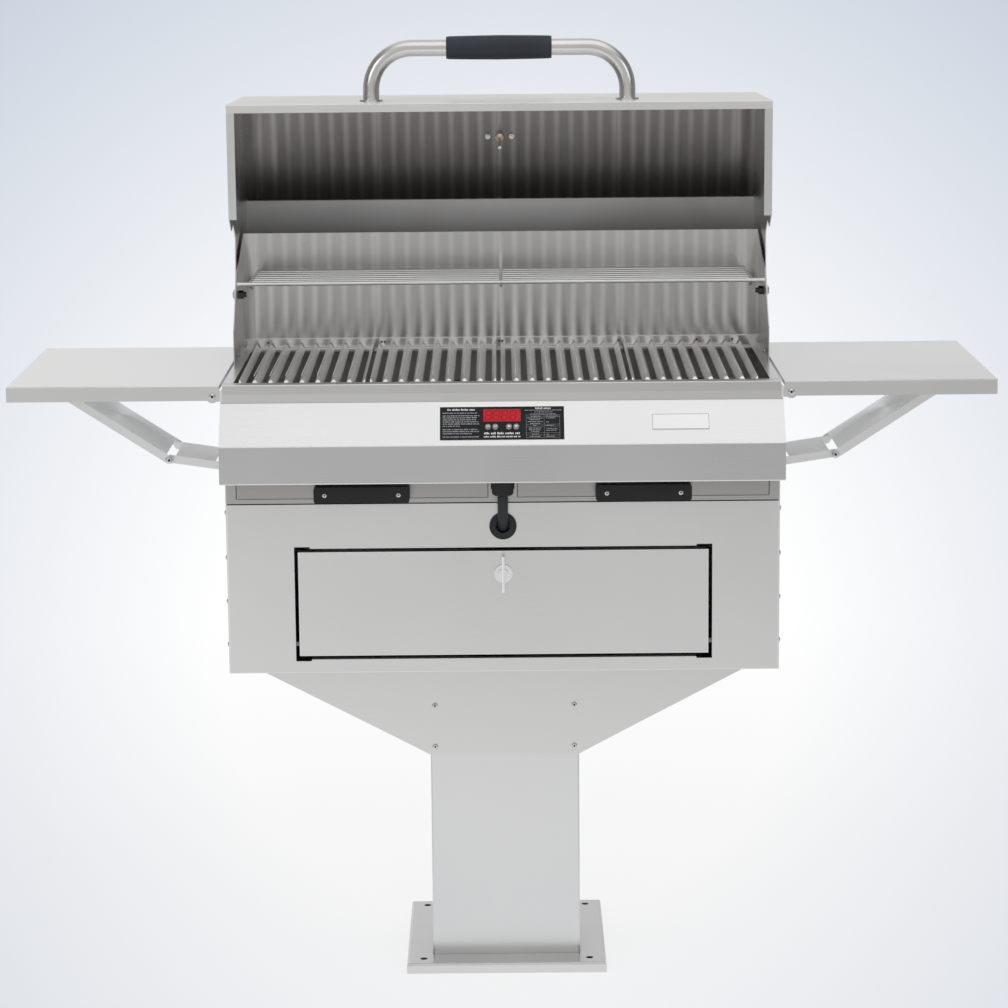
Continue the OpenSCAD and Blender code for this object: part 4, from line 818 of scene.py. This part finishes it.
def dress_screws():
    """The small screws and rivets that the CAD leaves out."""
    for side, name in SIDES:
        places = [(side * HANDLE_X + x, HANDLE_LIP_Y, HANDLE_MIDDLE_Z) for x in (-HANDLE_SCREW_X, HANDLE_SCREW_X)]
        screws(name + "_tray_handle_screws", places, FORWARD, name + "_tray")
    for side, name in SIDES:
        places = [(side * WING_FACE, y, WING_FOOT_Z) for y in WING_FOOT_Y]
        screws(name + "_wing_foot_screws", places, (-side, 0, 0), "frame", 0.007, 0.002)
    places = [(x, FOOT_FACE, FOOT_RIVET_Z) for x in FOOT_RIVET_X]
    screws("backsplash_foot_rivets", places, FORWARD, "frame", 0.0038, 0.0014, rivet_steel)
    places = [(x, BACKSPLASH_FACE, BACKSPLASH_SCREW_Z) for x in BACKSPLASH_SCREW_X]
    screws("backsplash_screws", places, FORWARD, "frame", 0.0055, 0.002, link_steel)


# The bare badge plate on the sloping face, in millimetres
BADGE_X = 259
BADGE_HALF_WIDTH = 41
BADGE_HALF_HEIGHT = 12.5
BADGE_FACE = 1.0
BADGE_LINE = 0.45
BADGE_LINE_TOP = 1.15


def badge_outline():
    """A fine raised line round the bare badge plate."""
    half = BADGE_LINE / 2
    figures = []
    for side, _ in SIDES:
        y = side * (BADGE_HALF_HEIGHT - half)
        figures.append(oblong(BADGE_X - BADGE_HALF_WIDTH, BADGE_X + BADGE_HALF_WIDTH, y - half, y + half))
    for side, _ in SIDES:
        x = BADGE_X + side * (BADGE_HALF_WIDTH - half)
        figures.append(oblong(x - half, x + half, -BADGE_HALF_HEIGHT + BADGE_LINE, BADGE_HALF_HEIGHT - BADGE_LINE))
    drawn("badge_outline", figures, BADGE_FACE, BADGE_LINE_TOP, rivet_steel, "frame")


def box_of(node):
    low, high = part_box(node)
    return (*low, *high)


# How far the folded rounds lie inside the edges
EDGE = 0.0005
RIM_EDGE = 0.0006
SLOPE_EDGE = 0.0004
SLOPE_FOOT = -0.0363
PANEL_FOLD = 0.0007
DOOR_FOLD = 0.0006


def front_corners(node):
    """Corners of a node's front, a little inside its edges: top left, bottom left, bottom right and top right."""
    x0, y0, z0, x1, y1, z1 = box_of(node)
    return [(x, y0 + EDGE, z) for x, z in ((x0 + EDGE, z1 - EDGE), (x0 + EDGE, z0 + EDGE),
                                           (x1 - EDGE, z0 + EDGE), (x1 - EDGE, z1 - EDGE))]


def dress_folds():
    """Bright rounds on the folded edges of the front, the door, the hood and the shelves."""
    rim = box_of("front_rim")
    x0, y0, z0, x1, y1, z1 = box_of("console")
    slope_foot = SLOPE @ Vector((0, SLOPE_FOOT, 0))
    lines = ((rim[0], rim[3], rim[1] + RIM_EDGE, rim[5] - RIM_EDGE),
             (x0, x1, slope_foot.y + SLOPE_EDGE, slope_foot.z),
             (x0, x1, y0 + RIM_EDGE, z0 + EDGE))
    folds("frame_folds", [[(left, y, z), (right, y, z)] for left, right, y, z in lines], "frame")
    folds("cabinet_folds", [front_corners("cabinet_front")], "frame", radius=PANEL_FOLD)
    corners = front_corners("door_panel")
    folds("door_folds", [corners[1:] + corners[:2]], "door", radius=DOOR_FOLD)
    half = box_of("hood_shell")[3]
    hem, brow = HOOD_CLOSED[:2]
    lines = ((hem[0] + EDGE, hem[1] + EDGE), (brow[0], brow[1] - RIM_EDGE))
    folds("hood_folds", [[hood_point(x, y, z) for x in (-half, half)] for y, z in lines], "hood")
    for side, name in SIDES:
        x0, y0, z0, x1, y1, z1 = box_of("shelf_" + name)
        far, near = (x0, x1) if side < 0 else (x1, x0)
        far -= side * EDGE
        front, rear = y0 + EDGE, y1 - EDGE
        line = [(x, y, z1 - EDGE) for x, y in ((near, front), (far, front), (far, rear), (near, rear))]
        folds(name + "_shelf_folds", [line], name + "_shelf", radius=PANEL_FOLD)


SOCKET_REACH = 0.03
SOCKET_DEPTH = 0.0002
CASING_SOCKET = 0.003
ROOT_SOCKET = 0.0034
PIN_SOCKET = 0.0038


def sockets(name, node, heads, facing, body, width):
    """Hexagon sockets painted dark, painted shade, in a node's screw heads, each set where the screw's own axis meets
    its head.
    """
    facing = Vector(facing)
    places = []
    for head in heads:
        met, place, _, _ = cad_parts[node].ray_cast(Vector(head) + facing * SOCKET_REACH, -facing)
        assert met, name
        places.append(place)
    screws(name, places, facing, body, width, SOCKET_DEPTH, socket_black)


# Places of the screw heads: X and Z on the neck, the screws of the casing's sides, X and Z of the right-hand pins
NECK_SCREWS = [(x, z) for x in (-0.1057, 0.1057) for z in (0.3455, 0.4095)]
NECK_Y = 0.12
SIDE_SCREW_X = 0.412
SIDE_SCREW_Y = -0.209
SIDE_SCREW_Z = (0.530, 0.595, 0.661, 0.728)
SHELF_PIN = (0.421, 0.904)
STRUT_ROOT = (0.420, 0.776)
STRUT_KNEE = (0.5005, 0.788)

# Y of the shelf pins', the strut roots' and the knees' heads, at the front and at the rear
PIN_HEADS_Y = {"front": (-0.24, -0.09, -0.104), "rear": (0.2, 0.05, 0.062)}


def dress_screw_heads():
    for facing, end in ENDS:
        heads = [(x, facing * NECK_Y, z) for x, z in NECK_SCREWS]
        sockets("neck_%s_sockets" % end, "casing_screws", heads, (0, facing, 0), "frame", CASING_SOCKET)
    for facing, end in ENDS:
        shelf_y, root_y, knee_y = PIN_HEADS_Y[end]
        heads = [(side * SHELF_PIN[0], shelf_y, SHELF_PIN[1]) for side, _ in SIDES]
        sockets("shelf_pin_%s_sockets" % end, "hinge_bolts", heads, (0, facing, 0), "frame", PIN_SOCKET)
        heads = [(side * STRUT_ROOT[0], root_y, STRUT_ROOT[1]) for side, _ in SIDES]
        sockets("strut_root_%s_sockets" % end, "hinge_bolts", heads, (0, facing, 0), "frame", ROOT_SOCKET)
        for side, name in SIDES:
            heads = [(side * STRUT_KNEE[0], knee_y, STRUT_KNEE[1])]
            sockets("%s_knee_%s_socket" % (name, end), "upper_link_" + name, heads, (0, facing, 0),
                    name + "_upper_link", PIN_SOCKET)
    for side, name in SIDES:
        heads = [(side * SIDE_SCREW_X, SIDE_SCREW_Y, z) for z in SIDE_SCREW_Z]
        sockets(name + "_casing_sockets", "casing_screws", heads, (side, 0, 0), "frame", CASING_SOCKET)


# The flattened front ends of a grate's bars: width at the foot and at the top, levels over the grate's underside,
# places behind its front edge, and the sheet's slant; then the crest lines along the bars
GRATES = ("first_grate", "second_grate", "third_grate", "fourth_grate")
GRATE_BARS = 9
CAP_WIDTH = 0.013
CAP_TOP_WIDTH = 0.003
CAP_FOOT = 0.0036
CAP_TOP = 0.0104
CAP_FRONT = 0.0008
CAP_BACK = 0.0085
CAP_SHEET = Vector((0, 0.0012, -0.0006))
CREST_SIDE = 0.00125
CREST_ENDS = 0.012
CREST_SINK = 0.0003
CREST_RADIUS = 0.0006


def bar_ends(name, box, middles, body):
    """The flattened front ends of the bars, pressed out wider than the bars behind them."""
    x0, y0, z0, x1 = box[:4]
    bm = bmesh.new()
    for middle in middles:
        left, right = min(CAP_WIDTH / 2, middle - x0), min(CAP_WIDTH / 2, x1 - middle)
        corners = [(middle - left, y0 + CAP_FRONT, z0 + CAP_FOOT), (middle + right, y0 + CAP_FRONT, z0 + CAP_FOOT),
                   (middle + min(right, CAP_TOP_WIDTH / 2), y0 + CAP_BACK, z0 + CAP_TOP),
                   (middle - min(left, CAP_TOP_WIDTH / 2), y0 + CAP_BACK, z0 + CAP_TOP)]
        outer = [bm.verts.new(place) for place in corners]
        inner = [bm.verts.new(Vector(place) + CAP_SHEET) for place in corners]
        bm.faces.new(outer)
        bm.faces.new(reversed(inner))
        for a in range(4):
            b = (a + 1) % 4
            bm.faces.new((outer[a], inner[a], inner[b], outer[b]))
    make_piece(name, close(name, bm), bar_end_steel, body)


def dress_grates():
    for number, body in enumerate(GRATES, 1):
        box = box_of("grate_%d" % number)
        x0, y0, z0, x1, y1, z1 = box
        middles = [(x0 + x1) / 2 + (i - (GRATE_BARS - 1) / 2) * BAR_PITCH for i in range(GRATE_BARS)]
        crests = [[(middle - CREST_SIDE, y, z1 - CREST_SINK) for y in (y0 + CREST_ENDS, y1 - CREST_ENDS)]
                  for middle in middles[1:-1]]
        folds("grate_%d_bar_crests" % number, crests, body, CREST_RADIUS, crest_steel)
        bar_ends("grate_%d_bar_ends" % number, box, middles, body)


dress_display()
dress_screws()
badge_outline()
dress_folds()
dress_screw_heads()
dress_grates()

# Stage: pale floor, pale backdrop, studio lamps

# Middle of the white halo as seen from the front, and the angles from it over which it fades
AIM_DOWN = math.radians(12.9)
AIM = Vector((0, math.cos(AIM_DOWN), -math.sin(AIM_DOWN)))
HALO = (0.09, 0.27)
WHITE = (1, 1, 1)
EDGE_BLUE = (0.56, 0.62, 0.72)

# Ramps: from, to, and the level at each; the floor's in metres, the world's in the parts of a direction
FLOOR_DEPTH = (-5.4, -1.0, 0.50, 0.97)
FLOOR_ACROSS = (-0.8, 0.8, 1.12, 0.92)
FLOOR_FRONT = (-0.35, -0.8, 0, 1)
FLOOR_SHADOW = (0.9, 2.4, 0.22, 0.0)
REAR_HEIGHT = (0.05, 0.7, 0.9, 0.62)
REAR_ACROSS = (-0.14, 0.14, 1.08, 0.9)
FRONT_HEIGHT = (0.0, 0.9, 0.52, 0.62)
FRONT_TO_REAR = (-0.1, 0.25, 0, 1)
DARK_SIDES = (0.35, 0.75, 1, 0.35)
HALO_TO_STUDIO = (0.285, 0.36, 0, 1)
FLOOR_HALF = 9.0
FLOOR_PALEST = 0.93
PLAIN_LIGHT = (0.80, 0.80, 0.81)


def halo(nodes, direction):
    """White in the middle of the view and blue-grey round it, for a direction seen from the front."""
    angle = nodes.maths("ARCCOSINE", nodes.dot(direction, AIM))
    return nodes.blend(nodes.range(angle, *HALO, 0, 1), WHITE, EDGE_BLUE), angle


def seen(nodes):
    """1 for what the camera, a gloss or a glass sees, and 0 for light that falls on things."""
    path = nodes.add("LightPath")
    gloss = nodes.maths("MAXIMUM", path.outputs["Is Glossy Ray"], path.outputs["Is Transmission Ray"])
    return nodes.maths("MAXIMUM", path.outputs["Is Camera Ray"], gloss)


def stage_floor():
    """A pale floor; what is seen of it is a painted pool of light that fades like the backdrop, and towards the front
    it grows greyer.
    """
    half = FLOOR_HALF
    mesh = bpy.data.meshes.new("floor")
    mesh.from_pydata([(-half, -half, 0), (half, -half, 0), (half, half, 0), (-half, half, 0)], [], [(0, 1, 2, 3)])
    floor = linked(bpy.data.objects.new("floor", mesh))
    finish = Finish("floor_paint", (0.9, 0.9, 0.9), Roughness=0.95, Specular_IOR_Level=0.0)
    place = finish.add("TexCoord").outputs["Object"]
    across, along = finish.along("X", place), finish.along("Y", place)
    away = finish.add("VectorMath", "SUBTRACT")
    finish.feed(away.inputs[0], place)
    away.inputs[1].default_value = CAMERA_AT
    direction = finish.add("VectorMath", "NORMALIZE")
    finish.feed(direction.inputs[0], away.outputs[0])
    behind, _ = halo(finish, direction.outputs[0])
    level = finish.maths("MULTIPLY", finish.range(along, *FLOOR_DEPTH), finish.range(across, *FLOOR_ACROSS))
    level = finish.maths("MINIMUM", level, 1.0)
    pale = finish.maths("MULTIPLY", finish.add("LightPath").outputs["Is Camera Ray"], FLOOR_PALEST)
    front = finish.shade(WHITE, finish.maths("MAXIMUM", level, pale))
    colour = finish.blend(finish.range(along, *FLOOR_FRONT), behind, front)
    spread = finish.add("VectorMath", "LENGTH")
    finish.feed(spread.inputs[0], place)
    shadowed = finish.range(spread.outputs["Value"], *FLOOR_SHADOW)
    # Emission for what the camera and gloss see: the painted pool of light
    glow = finish.add("Emission", Color=colour, Strength=1.0)
    mix = finish.add("MixShader")
    finish.feed(mix.inputs[0], finish.maths("MULTIPLY", seen(finish), finish.maths("SUBTRACT", 1.0, shadowed)))
    finish.feed(mix.inputs[1], finish.shader.outputs[0])
    finish.feed(mix.inputs[2], glow.outputs[0])
    finish.feed(finish.tree.nodes["Material Output"].inputs["Surface"], mix.outputs[0])
    mesh.materials.append(finish.material)


def studio_world():
    """The backdrop's halo straight behind, a neutral studio elsewhere, and plain light for dull surfaces."""
    world = bpy.data.worlds.new("studio")
    scene.world = world
    world.use_nodes = True
    nodes = Shading(world.node_tree)
    nodes.tree.nodes.clear()
    direction = nodes.add("TexCoord").outputs["Generated"]
    across, along, height = (nodes.along(axis, direction) for axis in "XYZ")
    behind, angle = halo(nodes, direction)
    rear = nodes.maths("MULTIPLY", nodes.range(height, *REAR_HEIGHT), nodes.range(across, *REAR_ACROSS))
    level = nodes.add("Mix", Factor=nodes.range(along, *FRONT_TO_REAR))
    nodes.feed(level.inputs[2], nodes.range(height, *FRONT_HEIGHT))
    nodes.feed(level.inputs[3], rear)
    sides = nodes.range(nodes.maths("ABSOLUTE", across), *DARK_SIDES)
    studio = nodes.shade(WHITE, nodes.maths("MULTIPLY", level.outputs[0], sides))
    backdrop = nodes.blend(nodes.range(angle, *HALO_TO_STUDIO), behind, studio)
    colour = nodes.blend(seen(nodes), PLAIN_LIGHT, backdrop)
    colour = nodes.blend(nodes.add("LightPath").outputs["Is Camera Ray"], colour, behind)
    background = nodes.add("Background", Color=colour, Strength=1.0)
    nodes.feed(nodes.add("OutputWorld").inputs["Surface"], background.outputs[0])


# Lamps: name, place, what it points at, width and depth, power
LAMPS = (
    ("overhead", (0.5, -0.9, 3.6), (0, -0.2, 0.9), (3.4, 2.4), 10),
    ("left_front", (-2.8, -3.2, 2.6), (0, 0, 0.9), (1.8, 1.8), 14),
    ("right_front", (3.0, -3.0, 2.4), (0, 0, 0.9), (1.5, 1.5), 8),
)


def studio_lamps():
    for name, at, towards, size, power in LAMPS:
        data = bpy.data.lights.new(name, "AREA")
        data.shape = "RECTANGLE"
        data.size, data.size_y = size
        data.energy = power
        lamp = linked(bpy.data.objects.new(name, data))
        lamp.location = at
        lamp.rotation_euler = (Vector(towards) - Vector(at)).to_track_quat("-Z", "Y").to_euler()


stage_floor()
studio_world()
studio_lamps()

scene.view_settings.view_transform = "Standard"
